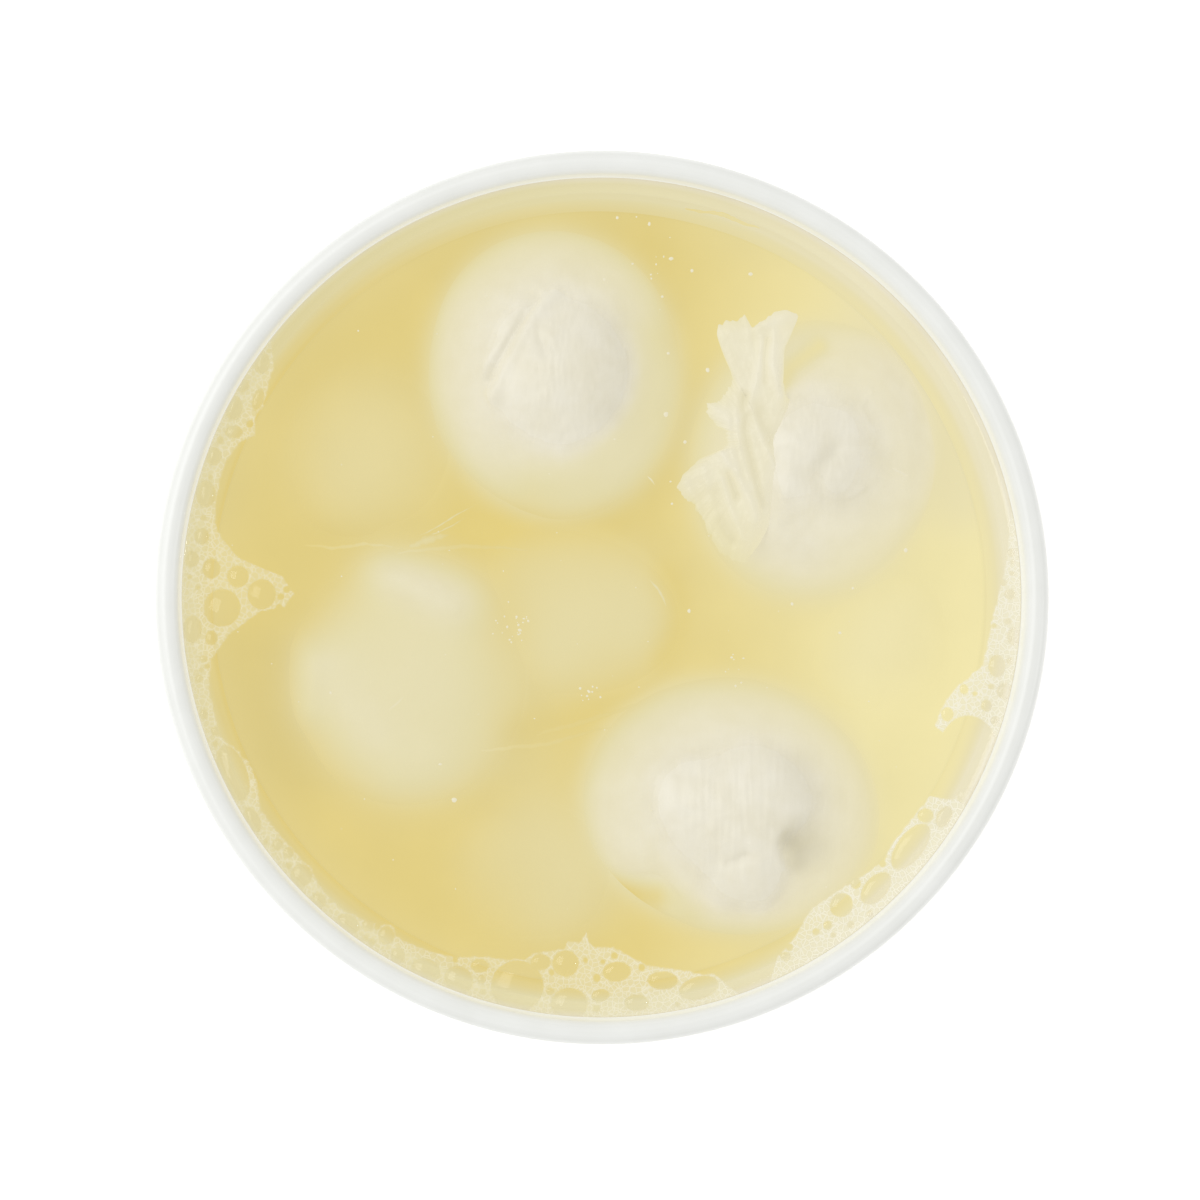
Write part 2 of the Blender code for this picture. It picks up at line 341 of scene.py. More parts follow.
def mix_colour(tree, share, first, second):
    """Output of a mix of two colours; share 1 gives the second."""
    return add_node(tree, "ShaderNodeMix", {0: share, 6: first, 7: second}, data_type="RGBA").outputs[2]


def split_lit_and_painted_glow(tree, painted_glow, colour):
    """Outputs with the part of a colour that is lit, and the share of it that is painted as a glow."""
    return mix_colour(tree, painted_glow, colour, BLACK), mix_colour(tree, painted_glow, BLACK, colour)


def math_node(tree, operation, *values, clamp=False):
    """Output of an operation on values or output sockets."""
    return add_node(tree, "ShaderNodeMath", dict(enumerate(values)), operation=operation, use_clamp=clamp).outputs[0]


def scaled_where(tree, mask, value, factor):
    """The value, times the factor where the mask is 1."""
    return math_node(tree, "MULTIPLY", value, math_node(tree, "MULTIPLY_ADD", mask, factor - 1, 1.0))


def place_in_mm(tree):
    """Output with the shaded point's place, in millimetres."""
    place = add_node(tree, "ShaderNodeNewGeometry").outputs["Position"]
    return add_node(tree, "ShaderNodeVectorMath", {0: place, "Scale": 1 / MM}, operation="SCALE").outputs[0]


def split_place(tree):
    """Outputs with the shaded point's X, Y and Z, in millimetres."""
    return add_node(tree, "ShaderNodeSeparateXYZ", {0: place_in_mm(tree)}).outputs


def noise_node(tree, vector, scale, detail=3.0, roughness=0.5):
    """Output of a noise at a vector, from 0 to 1."""
    sockets = {"Vector": vector, "Scale": scale, "Detail": detail, "Roughness": roughness}
    return add_node(tree, "ShaderNodeTexNoise", sockets).outputs["Fac"]


def attribute_node(tree, name):
    """Output of one of the mesh's own attributes."""
    return add_node(tree, "ShaderNodeAttribute", attribute_name=name).outputs["Fac"]


def ramp(tree, value, stops):
    """Grey ramp through (place, brightness) stops."""
    item = add_node(tree, "ShaderNodeValToRGB", {"Fac": value})
    points = item.color_ramp.elements
    points[0].position, points[1].position = stops[0][0], stops[-1][0]
    for place, _ in stops[1:-1]:
        points.new(place)
    for point, (_, brightness) in zip(points, stops):
        point.color = (brightness, brightness, brightness, 1.0)
    return item.outputs["Color"]


# How much of the whey's own colour covers a thing at a depth under the level, as read from the photo's flanks.
SIGHT_STOPS = [(0, 0), (1, 0.07), (3, 0.2), (6.5, 0.32), (9, 0.38), (12.5, 0.46), (16, 0.53), (20, 0.63), (26, 0.82),
               (33, 1.0)]
WALL_STOPS = [(0, 0), (0.5, 0.1), (3, 0.29), (6.5, 0.46), (12, 0.62), (18, 0.78), (28, 0.94), (36, 1.0)]
LEAN_PAINTED_LIGHT_STOPS = [(0, 0), (0.3, 0.15), (1.5, 0.28), (8, 0.2), (24, 0)]  # added at the left wall as painted shade, taken off at the right as painted light
PALE_PAINTED_LIGHT_STOPS = [(6, 0), (14, 0.28), (36, 0.36)]  # taken off at the upper right wall as painted light
# Whey colours at the left and at the right; the right ones are paler as painted light.
MILKY_LEFT = colour_of(231, 222, 176)  # curd seen half covered by whey
MILKY_RIGHT = colour_of(236, 227, 184)
DEEP_LEFT = colour_of(228, 208, 129)
DEEP_RIGHT = colour_of(242, 231, 173)
PAINTED_LIGHT_SPAN = (12.0, 60.0)  # the whey is painted paler towards the right between these places along X, as painted light
CURD_COLOUR = colour_of(241, 236, 218)
CURD_SHADE = colour_of(236, 230, 208)
# Colour towards which the painted shade darkens.
PAINTED_SHADE_COLOUR = colour_of(124, 115, 86)
# Painted glow: share of a thing's colour given as emission, by its cover, which stands in for the light that scatters
# inside it and in the cloudy whey round it. It softens shading.
PAINTED_GLOW_STOPS = [(0, 0.3), (0.05, 0.48), (0.12, 0.68), (0.3, 0.84), (1, 0.88)]
# Painted glow of the tub's plastic by depth under the level; it also lifts the shade on the wall above the whey and on
# the rim.
WALL_PAINTED_GLOW_STOPS = [(-6, 0.3), (0, 0.55), (3, 0.75), (30, 0.86)]
OUTSIDE_SHARE = 0.3  # of the whey's cover that shows through the wall, on the tub's outside
OUTSIDE_PAINTED_GLOW = 0.3  # the same for the painted glow
WHEY_IOR = 1.34
BLACK = (0.0, 0.0, 0.0, 1.0)
WHITE = (1.0, 1.0, 1.0, 1.0)


def by_depth(tree, stops):
    """Output of a ramp through (depth under the whey's level, value) stops at the shaded point."""
    depth = math_node(tree, "SUBTRACT", WHEY_LEVEL, split_place(tree)["Z"])
    first, last = stops[0][0], stops[-1][0]
    part = math_node(tree, "DIVIDE", math_node(tree, "SUBTRACT", depth, first), last - first, clamp=True)
    return ramp(tree, part, [((stop - first) / (last - first), value) for stop, value in stops])


def whey_group():
    """A node group that covers a colour with whey, paler towards the right as painted light, darkens it by a painted
    shade, and parts it into what is lit and a painted glow.
    """
    tree = bpy.data.node_groups.new("whey_cover_and_painted_light", "ShaderNodeTree")
    for name, kind in (("Color", "Color"), ("Share", "Float"), ("Painted_Glow", "Float"), ("Painted_Shade", "Float")):
        tree.interface.new_socket(name, in_out="INPUT", socket_type="NodeSocket" + kind)
    for name in ("Color", "Painted_Glow"):
        tree.interface.new_socket(name, in_out="OUTPUT", socket_type="NodeSocketColor")
    given = add_node(tree, "NodeGroupInput")
    place = place_in_mm(tree)
    slow = noise_node(tree, place, 0.012, 2.0)
    along = math_node(tree, "SUBTRACT", split_place(tree)["X"], PAINTED_LIGHT_SPAN[0])
    painted_light_rightness = math_node(tree, "DIVIDE", along, PAINTED_LIGHT_SPAN[1] - PAINTED_LIGHT_SPAN[0])
    painted_light_rightness = math_node(tree, "ADD", painted_light_rightness, math_node(tree, "MULTIPLY_ADD", slow, 0.5, -0.25), clamp=True)
    deep = mix_colour(tree, painted_light_rightness, DEEP_LEFT, DEEP_RIGHT)
    patches = math_node(tree, "MULTIPLY_ADD", noise_node(tree, place, 0.045, 3.0), 0.14, 0.93)
    patched = add_node(tree, "ShaderNodeVectorMath", {0: deep, "Scale": patches}, operation="SCALE")
    milky = mix_colour(tree, painted_light_rightness, MILKY_LEFT, MILKY_RIGHT)
    thin = math_node(tree, "MULTIPLY", given.outputs["Share"], 2.0, clamp=True)
    thick = math_node(tree, "MULTIPLY_ADD", given.outputs["Share"], 2.0, -1.0, clamp=True)
    colour = mix_colour(tree, thin, given.outputs["Color"], milky)
    colour = mix_colour(tree, thick, colour, patched.outputs[0])
    # Painted shade, by the mesh's attribute.
    colour = mix_colour(tree, given.outputs["Painted_Shade"], colour, PAINTED_SHADE_COLOUR)
    lit, painted_glow_colour = split_lit_and_painted_glow(tree, given.outputs["Painted_Glow"], colour)
    add_node(tree, "NodeGroupOutput", {"Color": lit, "Painted_Glow": painted_glow_colour})
    return tree


def new_material(name):
    """A material with its node tree and shader."""
    material = bpy.data.materials.new(name)
    material.use_nodes = True
    tree = material.node_tree
    return material, tree, tree.nodes["Principled BSDF"]


def cover_at_wall(tree, outside):
    """How much whey covers the tub's wall, and its painted glow: by depth and side of the tub, with more cover at the
    left as painted shade and less at the right and upper right as painted light, less on the outside.
    """
    axes = split_place(tree)
    leftness = math_node(tree, "MULTIPLY", axes["X"], -1 / WHEY_EDGE)
    upwards = math_node(tree, "MULTIPLY", axes["Y"], 0.8 / WHEY_EDGE)
    upper_right = math_node(tree, "MULTIPLY_ADD", leftness, -0.6, upwards, clamp=True)
    share = math_node(tree, "MULTIPLY_ADD", by_depth(tree, LEAN_PAINTED_LIGHT_STOPS), leftness, by_depth(tree, WALL_STOPS))
    pale = math_node(tree, "MULTIPLY", by_depth(tree, PALE_PAINTED_LIGHT_STOPS), upper_right)
    share = math_node(tree, "MAXIMUM", math_node(tree, "SUBTRACT", share, pale), 0.0)
    painted_glow = by_depth(tree, WALL_PAINTED_GLOW_STOPS)
    if outside is None:
        return share, painted_glow
    return scaled_where(tree, outside, share, OUTSIDE_SHARE), scaled_where(tree, outside, painted_glow, OUTSIDE_PAINTED_GLOW)


def dress_in_whey(tree, group, shader, colour, at_wall=False, outside=None):
    """Feeds the shader's colour through the whey group, with the painted shade of the mesh's attribute, and gives it
    the painted glow as emission: by depth at the wall, elsewhere by the soak.
    """
    if at_wall:
        share, painted_glow = cover_at_wall(tree, outside)
    else:
        share = attribute_node(tree, "soak")
        painted_glow = ramp(tree, share, PAINTED_GLOW_STOPS)
    sockets = {"Color": colour, "Share": share, "Painted_Glow": painted_glow, "Painted_Shade": attribute_node(tree, "painted_shade")}
    cover = add_node(tree, "ShaderNodeGroup", sockets, node_tree=group).outputs
    set_inputs(tree, shader, {"Base Color": cover["Color"], "Emission Color": cover["Painted_Glow"], "Emission Strength": 1.0})


def curd_material(group, name, gloss):
    """Milky stretched curd: faint cream mottling and fine fibres in the skin, glossy where it is out of the whey."""
    material, tree, shader = new_material(name)
    place = place_in_mm(tree)
    mottle = noise_node(tree, place, 0.16, 4.0)
    colour = mix_colour(tree, ramp(tree, mottle, [(0.3, 0.0), (0.7, 1.0)]), CURD_COLOUR, CURD_SHADE)
    fibres = add_node(tree, "ShaderNodeMapping", {"Vector": place, "Scale": (1.6, 0.3, 0.8)})
    grain = noise_node(tree, fibres.outputs[0], 0.9, 4.0, 0.6)
    bump = add_node(tree, "ShaderNodeBump", {"Height": grain, "Strength": 0.1, "Distance": 0.4 * MM})
    limits = {"To Min": 0.8 - 0.46 * gloss, "To Max": 0.92 - 0.4 * gloss}
    rough = add_node(tree, "ShaderNodeMapRange", {"Value": grain, **limits})
    dress_in_whey(tree, group, shader, colour)
    set_inputs(tree, shader, {"Normal": bump.outputs[0], "Roughness": rough.outputs[0],
                              "Specular IOR Level": 0.3 * gloss})
    return material


def cloudy_material(group, name, at_wall):
    """The whey where sight ends, or before the tub's wall, with faint slow clouds."""
    material, tree, shader = new_material(name)
    place = place_in_mm(tree)
    clouds = noise_node(tree, place, 0.05, 3.0)
    colour = mix_colour(tree, ramp(tree, clouds, [(0.3, 0.0), (0.7, 1.0)]), CURD_SHADE, CURD_COLOUR)
    dress_in_whey(tree, group, shader, colour, at_wall)
    set_inputs(tree, shader, {"Roughness": 0.9, "Specular IOR Level": 0.0})
    return material


def clear_film_material(name, tint, tint_share, roughness):
    """A clear wet surface: a thin tint, with gloss that grows towards the edges of the view."""
    material, tree, shader = new_material(name)
    tree.nodes.remove(shader)
    clear = add_node(tree, "ShaderNodeBsdfTransparent")
    veil = add_node(tree, "ShaderNodeBsdfDiffuse", {"Color": tint})
    gloss = add_node(tree, "ShaderNodeBsdfGlossy", {"Color": WHITE, "Roughness": roughness})
    veiled = add_node(tree, "ShaderNodeMixShader", {0: tint_share, 1: clear.outputs[0], 2: veil.outputs[0]})
    fresnel = add_node(tree, "ShaderNodeFresnel", {"IOR": WHEY_IOR})
    front = math_node(tree, "SUBTRACT", 1.0, add_node(tree, "ShaderNodeNewGeometry").outputs["Backfacing"])
    shine = math_node(tree, "MULTIPLY", fresnel.outputs[0], front)
    wet = add_node(tree, "ShaderNodeMixShader", {0: shine, 1: veiled.outputs[0], 2: gloss.outputs[0]})
    set_inputs(tree, tree.nodes["Material Output"], {"Surface": wet.outputs[0]})
    return material


def outside_mask(tree, radius, height):
    """1 on the outside of the tub's wall: past the middle of its thickness, below the ledge and above it."""
    inner = math_node(tree, "MULTIPLY_ADD", height, WALL_LEAN, FLOOR_RADIUS - WALL_LEAN * HEEL_TOP)
    low = math_node(tree, "MAXIMUM", math_node(tree, "SUBTRACT", HEEL_TOP, height), 0.0)
    past = math_node(tree, "SUBTRACT", radius, inner)
    past = math_node(tree, "MULTIPLY_ADD", math_node(tree, "MULTIPLY", low, low), HEEL_BEND, past)
    outer = math_node(tree, "MULTIPLY_ADD", past, 2.0, -WALL * 0.6, clamp=True)
    under_ledge = math_node(tree, "MULTIPLY_ADD", height, -0.5, LEDGE_HEIGHT / 2, clamp=True)
    above = math_node(tree, "SUBTRACT", radius, LEDGE_RADIUS + LEDGE_WIDTH + WALL / 2)
    outside = math_node(tree, "MAXIMUM", math_node(tree, "MULTIPLY", outer, under_ledge),
                        math_node(tree, "MULTIPLY", above, 2.0, clamp=True))
    under_level = math_node(tree, "MULTIPLY_ADD", height, -0.5, WHEY_LEVEL / 2, clamp=True)
    return math_node(tree, "MULTIPLY", outside, under_level)


def plastic_material(group):
    """White moulded polypropylene with fine turned lines, pale yellow where it stands in whey."""
    material, tree, shader = new_material("white_plastic")
    place = place_in_mm(tree)
    axes = split_place(tree)
    squares = math_node(tree, "ADD", math_node(tree, "MULTIPLY", axes["X"], axes["X"]),
                        math_node(tree, "MULTIPLY", axes["Y"], axes["Y"]))
    radius = math_node(tree, "SQRT", squares)
    lines = add_node(tree, "ShaderNodeCombineXYZ", {"X": radius, "Y": axes["Z"]})
    bands = noise_node(tree, lines.outputs[0], 1.1, 3.0)
    spots = noise_node(tree, place, 0.12, 3.0)
    tone = math_node(tree, "MULTIPLY_ADD", bands, 0.6, math_node(tree, "MULTIPLY", spots, 0.4))
    colour = mix_colour(tree, ramp(tree, tone, [(0.35, 0.0), (0.65, 1.0)]), colour_of(238, 239, 234),
                        colour_of(244, 245, 241))
    bump = add_node(tree, "ShaderNodeBump", {"Height": bands, "Strength": 0.15, "Distance": 0.3 * MM})
    rough = add_node(tree, "ShaderNodeMapRange", {"Value": spots, "To Min": 0.26, "To Max": 0.42})
    dress_in_whey(tree, group, shader, colour, at_wall=True, outside=outside_mask(tree, radius, axes["Z"]))
    set_inputs(tree, shader, {"Normal": bump.outputs[0], "Roughness": rough.outputs[0]})
    return material


# ---------------------------------------------------------------------------------------------- tub and whey


def inner_wall():
    """The tub's inner profile from the floor up to the top of the ledge."""
    rounding = HEEL_ROUNDING - WALL
    heel = arc((FLOOR_RADIUS - rounding, BASE_THICKNESS + rounding), rounding, -90, 0, 10)
    far = LEDGE_RADIUS + LEDGE_WIDTH
    ledge = arc((LEDGE_RADIUS + LEDGE_ROUNDING, LEDGE_HEIGHT - LEDGE_ROUNDING), LEDGE_ROUNDING, 180, 90, 4)
    return [(0.0, BASE_THICKNESS)] + heel + ledge + [(far - 0.2, LEDGE_HEIGHT + 0.2), (far, LEDGE_HEIGHT + 0.6)]


def tub_profile():
    """From the axis along the floor, up the inner wall, over the rim, down the outside and back to the axis."""
    curl = RIM_WIDTH / 2
    curl_height = TUB_HEIGHT - curl
    skirt_low = TUB_HEIGHT - SKIRT_DEPTH
    skirt_in = RIM_RADIUS - SKIRT_THICKNESS
    rim = arc((RIM_RADIUS - curl, curl_height), curl, 180, 0, 40)
    skirt = arc((RIM_RADIUS - SKIRT_ROUNDING, skirt_low + SKIRT_ROUNDING), SKIRT_ROUNDING, 0, -90, 4)
    channel = [
        (skirt_in, skirt_low),
        (skirt_in, curl_height - SKIRT_ROUNDING),
        (skirt_in - 2 * SKIRT_ROUNDING, curl_height + SKIRT_ROUNDING),
        (RIM_RADIUS - RIM_WIDTH + WALL, curl_height + SKIRT_ROUNDING),
    ]
    shoulder = [
        (LEDGE_RADIUS + LEDGE_WIDTH + WALL, LEDGE_HEIGHT + LEDGE_ROUNDING - WALL),
        (LEDGE_RADIUS + WALL, LEDGE_HEIGHT - LEDGE_ROUNDING - WALL),
    ]
    heel = arc((FLOOR_RADIUS + WALL - HEEL_ROUNDING, HEEL_ROUNDING), HEEL_ROUNDING, 0, -90, 12)
    return inner_wall() + rim + skirt + channel + shoulder + heel + [(0.0, 0.0)]


def make_tub(material):
    """The tub's shell, turned round its axis."""
    points, faces = turned(tub_profile(), TUB_STEPS)
    tub = new_piece("tub_shell", points, faces, material)
    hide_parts("tub")


MENISCUS_RISE = 0.9
MENISCUS_WIDTH = 1.1
SURFACE_RINGS = 150


def level_apart(ball, plan, level):
    """About how far a point in plan lies outside the ball's cut at a height."""
    half = np.array(ball["half"])
    rise = level - (WHEY_LEVEL + ball["crown"] - half[2])
    share = math.sqrt(1 - (rise / half[2]) ** 2)
    along, across = in_own_axes(plan, ball["centre"], ball.get("turn", 0)).T
    out = np.hypot(along / (half[0] * share), across / (half[1] * share)) - 1
    return out * half[0] * share


def surface_height(plan):
    """Height of the whey's surface: the level, raised where it clings to the wall and the crowns."""
    radius = np.hypot(plan[:, 0], plan[:, 1])
    height = WHEY_LEVEL + MENISCUS_RISE * np.exp(-(WHEY_EDGE - radius) / MENISCUS_WIDTH)
    for ball in SURFACE_BALLS:
        apart = np.abs(level_apart(ball, plan, WHEY_LEVEL))
        height += 0.1 * np.exp(-((apart / 2.2) ** 2))
    return height


def make_whey(clear, cloudy):
    """The whey's body: a clear top, and cloudy sides and underside beside the tub's wall."""
    radii = WHEY_EDGE * (1 - (1 - np.linspace(0, 1, SURFACE_RINGS + 1)[1:]) ** 1.25)
    top = polar_rings(radii, 0, TUB_STEPS)
    top[:, :, 2] = surface_height(top[:, :, :2].reshape(-1, 2)).reshape(-1, TUB_STEPS)
    wall = [(radius - GAP, height + (GAP if height < BASE_THICKNESS + 1 else 0)) for radius, height in inner_wall()]
    sides = np.transpose([(WHEY_EDGE - 0.05, WHEY_LEVEL - 0.4)] + wall[:0:-1])
    rings = np.concatenate([top, polar_rings(*sides, TUB_STEPS)])
    middle = surface_height(np.zeros((1, 2)))[0]
    points, faces = capped_rings(rings, (0, 0, middle), (0, 0, BASE_THICKNESS + GAP))
    whey = new_piece("whey_body", points, faces, clear)
    whey.data.materials.append(cloudy)
    last_top_ring = (len(radii) - 1) * TUB_STEPS
    for face in whey.data.polygons:
        face.material_index = int(min(face.vertices) >= last_top_ring)
    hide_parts("whey")


WALL_ROOM = 0.8  # kept free between the tub's wall and what lies in the whey
DEEP_HEIGHT = 69.0  # top of the whey that hides what is below
DEEP_THICKNESS = 12.0
DEEP_SIZE = 85.0
DEEP_RINGS = 110
CLING_RISE = 3.5  # how far the cloud climbs at the balls and the wall
CLING_WIDTH = 4.0


def wall_radius(height):
    """Radius of the tub's inner wall at a height."""
    return np.interp(height, [HEEL_TOP, LEDGE_HEIGHT], [FLOOR_RADIUS, LEDGE_RADIUS])


def deep_height(plan):
    """Height of the cloud of whey: it climbs softly towards the balls and the wall."""
    inwards = np.maximum(0, DEEP_SIZE - np.hypot(plan[:, 0], plan[:, 1]))
    rise = CLING_RISE * np.exp(-inwards / CLING_WIDTH)
    for ball in ALL_BALLS:
        level = ball.get("cloud", DEEP_HEIGHT + CLING_RISE)
        out = np.maximum(0, level_apart(ball, plan, level))
        rise = np.maximum(rise, (level - DEEP_HEIGHT) * np.exp(-out / CLING_WIDTH))
    return DEEP_HEIGHT + rise + 2.0 * noise_at(plan, 30, 5)


def make_depths(fog, material):
    """The cloud of whey under the reach of sight, which closes the view between the balls."""
    radii = DEEP_SIZE * np.linspace(0, 1, DEEP_RINGS + 1)[1:]
    rings = polar_rings(np.append(radii, DEEP_SIZE), 0, TUB_STEPS)
    rings[:, :, 2] = deep_height(rings[:, :, :2].reshape(-1, 2)).reshape(-1, TUB_STEPS)
    foot = DEEP_HEIGHT - DEEP_THICKNESS
    rings[-1, :, :2] *= (wall_radius(foot) - WALL_ROOM) / DEEP_SIZE
    rings[-1, :, 2] = foot
    middle = deep_height(np.zeros((1, 2)))[0]
    points, faces = capped_rings(rings, (0, 0, middle), (0, 0, foot))
    depths = new_piece("whey_depths", points, faces, material)
    set_attribute(depths, "soak", np.clip(soak_of(points, fog, np.ones(len(points))), 0, 1))
    set_attribute(depths, "painted_shade", relief(points[:, :2], CLOUD_PAINTED_SHADES))
    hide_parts("whey")


# ---------------------------------------------------------------------------------------------- balls


def sphere_ways(segments, rings):
    """Unit directions of a sphere's rings, from the top down, without its poles."""
    polar = np.linspace(0, math.pi, rings + 1)[1:-1]
    return polar_rings(np.sin(polar), np.cos(polar), segments)


def ball_points(ball, ways, lines, grain):
    """Surface points for unit directions: the solid's form, then its lines of fine relief and its grain."""
    half = np.array(ball["half"])
    polar = np.arccos(np.clip(ways[:, 2], -1, 1))
    polar = math.pi * (polar / math.pi) ** CROWN_DENSITY
    around = np.arctan2(ways[:, 1], ways[:, 0])
    unit = np.stack([np.sin(polar) * np.cos(around), np.sin(polar) * np.sin(around), np.cos(polar)], -1)
    point = unit * half
    outward = unit / half
    outward /= np.linalg.norm(outward, axis=1)[:, None]
    rise = LUMP_HEIGHT * (noise_at(point, LUMP_SIZE, ball.get("seed", 7)) - LUMP_SINK)
    upper = np.clip(unit[:, 2] * 3, 0, 1)
    for start, end, width, deep in ball.get("furrows", []):
        rise -= upper * deep * np.exp(-((distance_to_line(point[:, :2], [start, end]) / width) ** 2))
    for centre, width, deep in ball.get("dimples", []):
        apart = np.linalg.norm(point[:, :2] - centre, axis=1)
        rise -= upper * deep * np.exp(-((apart / width) ** 2))
    ridges = upper * relief(point[:, :2], ball.get("ridges", []))
    turn = ball.get("turn", 0)
    plan = in_own_axes(point[:, :2], (0, 0), -turn)
    rise += upper * relief(plan, lines)
    rise += upper * grain(plan) + 0.12 * noise_at(point, 4.0, ball.get("seed", 7) + 3)
    point = point + outward * rise[:, None]
    place = np.empty_like(point)
    place[:, :2] = in_own_axes(point[:, :2], (0, 0), -turn) + ball["centre"]
    place[:, 2] = point[:, 2] + ridges + WHEY_LEVEL + ball["crown"] - half[2]
    reach = wall_radius(place[:, 2]) - WALL_ROOM
    place[:, :2] *= np.minimum(1, reach / np.hypot(place[:, 0], place[:, 1]))[:, None]
    return place


def ball_top(ball, plan):
    """Height of the ball's smooth form over points in plan, or far down beside it."""
    half = ball["half"]
    own = in_own_axes(plan, ball["centre"], ball.get("turn", 0))
    share = 1 - (own[:, 0] / half[0]) ** 2 - (own[:, 1] / half[1]) ** 2
    middle = WHEY_LEVEL + ball["crown"] - half[2] - LUMP_HEIGHT * LUMP_SINK
    top = middle + half[2] * np.sqrt(np.maximum(share, 0)) + relief(own, ball.get("ridges", []))
    return np.where(share > 0, top, 0.0)


FOG_STEP = 0.75
FOG_REACH = 93.0
FOG_BLUR = 2.2
FOG_ROOM = 12  # how many steps the blur reaches
# Uneven clouds in the whey, partly painted light and shade: more of the whey's colour in gaps between balls and along
# the middle sunk ball's right edge as painted shade, less at the upper right near the wall and beside that edge as
# painted light. A line in plan, its half width, and the share of the whey's colour that it adds.
CLOUDS_AND_PAINTED_LIGHT = [
    ([(60.0, 66.0), (70.0, 50.0), (76.0, 36.0), (79.0, 22.0)], 8.0, -0.4),
    ([(-13.0, -16.0), (-15.0, -38.0), (-4.0, -56.0)], 10.0, -0.15),
    ([(8.0, 4.0), (11.0, -3.0), (9.0, -10.0)], 4.5, -0.08),
    ([(14.2, 6.5), (17.6, 0.0), (17.0, -8.0), (13.0, -14.0)], 1.4, 0.3),
    ([(-47.0, 6.4), (-39.0, 3.6), (-31.5, 0.4)], 4.6, -0.17),
    ([(-60.5, -15.0), (-56.0, -23.0), (-51.5, -30.0)], 5.0, -0.09),
    ([(-58.5, 4.0), (-64.0, -4.0)], 4.5, 0.08),
    ([(-9.0, -71.0), (2.0, -66.0)], 8.0, -0.13),
    ([(-21.5, -8.0), (-20.0, -28.0)], 6.0, 0.12),
    ([(-30.0, 15.0), (-14.0, 14.6), (4.0, 16.6)], 3.0, 0.1),
    ([(-20.0, -29.0), (-6.0, -26.6), (8.0, -22.0)], 3.0, 0.1),
]
# Painted shade in the whey beside the sunk left ball: a line in plan, its half width, and how dark it is.
CLOUD_PAINTED_SHADES = [([(-71.5, -14.0), (-72.0, -24.0), (-66.0, -38.0)], 8.0, 0.07)]


def sight_share(depth):
    """How much of the whey's colour covers what lies at a depth."""
    stops = np.array(SIGHT_STOPS, float)
    return np.interp(depth, stops[:, 0], stops[:, 1])


def make_fog():
    """The whey's cover over what shows from above, softened as cloudy whey softens it: a grid of shares in plan."""
    line = np.arange(-FOG_REACH, FOG_REACH, FOG_STEP)
    x, y = np.meshgrid(line, line, indexing="ij")
    plan = np.column_stack([x.ravel(), y.ravel()])
    top = np.maximum(deep_height(plan), 0)
    for ball in ALL_BALLS:
        top = np.maximum(top, ball_top(ball, plan))
    share = (sight_share(WHEY_LEVEL - top) + relief(plan, CLOUDS_AND_PAINTED_LIGHT)).reshape(x.shape)
    reach = np.arange(-FOG_ROOM, FOG_ROOM + 1) * FOG_STEP
    kernel = np.exp(-0.5 * (reach / FOG_BLUR) ** 2)
    kernel /= kernel.sum()
    for axis in (0, 1):
        padded = np.pad(share, FOG_ROOM, mode="edge")
        share = np.apply_along_axis(np.convolve, axis, padded, kernel, "same")[FOG_ROOM:-FOG_ROOM, FOG_ROOM:-FOG_ROOM]
    return share


def soak_of(points, fog, upper):
    """Cover of each point by the whey: by its depth near the level, by the fog below."""
    depth = WHEY_LEVEL - points[:, 2]
    place = (points[:, :2] + FOG_REACH) / FOG_STEP
    near = np.clip(place.astype(int), 0, len(fog) - 2)
    part = np.clip(place - near, 0, 1)
    a, b = near.T
    u, v = part.T
    soft = (fog[a, b] * (1 - u) + fog[a + 1, b] * u) * (1 - v) + (fog[a, b + 1] * (1 - u) + fog[a + 1, b + 1] * u) * v
    share = np.clip((depth - 1) / 8, 0, 1) * upper
    return sight_share(np.maximum(depth, 0)) * (1 - share) + soft * share


def make_ball(name, ball, grain, fog, sunk, lines=(), painted_shades=(), cover_and_painted_light=(), wet=None, node=None):
    """A ball's skin; with a node it stands for that solid, and its crown is wet over the level."""
    ways = sphere_ways(BALL_SEGMENTS, BALL_RINGS) if node else sphere_ways(SUNK_SEGMENTS, SUNK_RINGS)
    poles = np.array([(0.0, 0.0, 1.0), (0.0, 0.0, -1.0)])
    places = ball_points(ball, np.vstack([ways.reshape(-1, 3), poles]), lines, grain)
    points, faces = capped_rings(places[:-2].reshape(ways.shape), places[-2], places[-1])
    item = new_piece(name, points, faces, sunk)
    facing_up = np.append(ways[:, :, 2].reshape(-1), [1, -1])
    plan = places[:, :2] - ball["centre"]
    soak = soak_of(places, fog, np.clip(facing_up * 4 + 2, 0, 1))
    # Whey cover painted stronger or weaker on the flanks under the level: partly painted shade and painted light.
    soak += relief(plan, cover_and_painted_light) * np.clip((WHEY_LEVEL - places[:, 2]) / 2, 0, 1)
    set_attribute(item, "soak", np.clip(soak, 0, 1))
    if node:
        # Painted shade in creases, dents and on the side turned from the light, on the ball's upper half.
        set_attribute(item, "painted_shade", relief(plan, painted_shades) * np.clip(facing_up * 3, 0, 1))
        item.data.materials.append(wet)
        out = places[:, 2] > WHEY_LEVEL - 0.4
        for face in item.data.polygons:
            face.material_index = int(out[face.vertices[0]])
        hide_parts(node)


def skin_grain(seed, fibre, strength):
    """Grain of the skin: stretched fibres along Y and small uneven lumps."""
    def height(plan):
        return strength * noise_at(plan / (1, fibre), 0.9, seed) + 0.12 * noise_at(plan, 2.6, seed + 1)
    return height


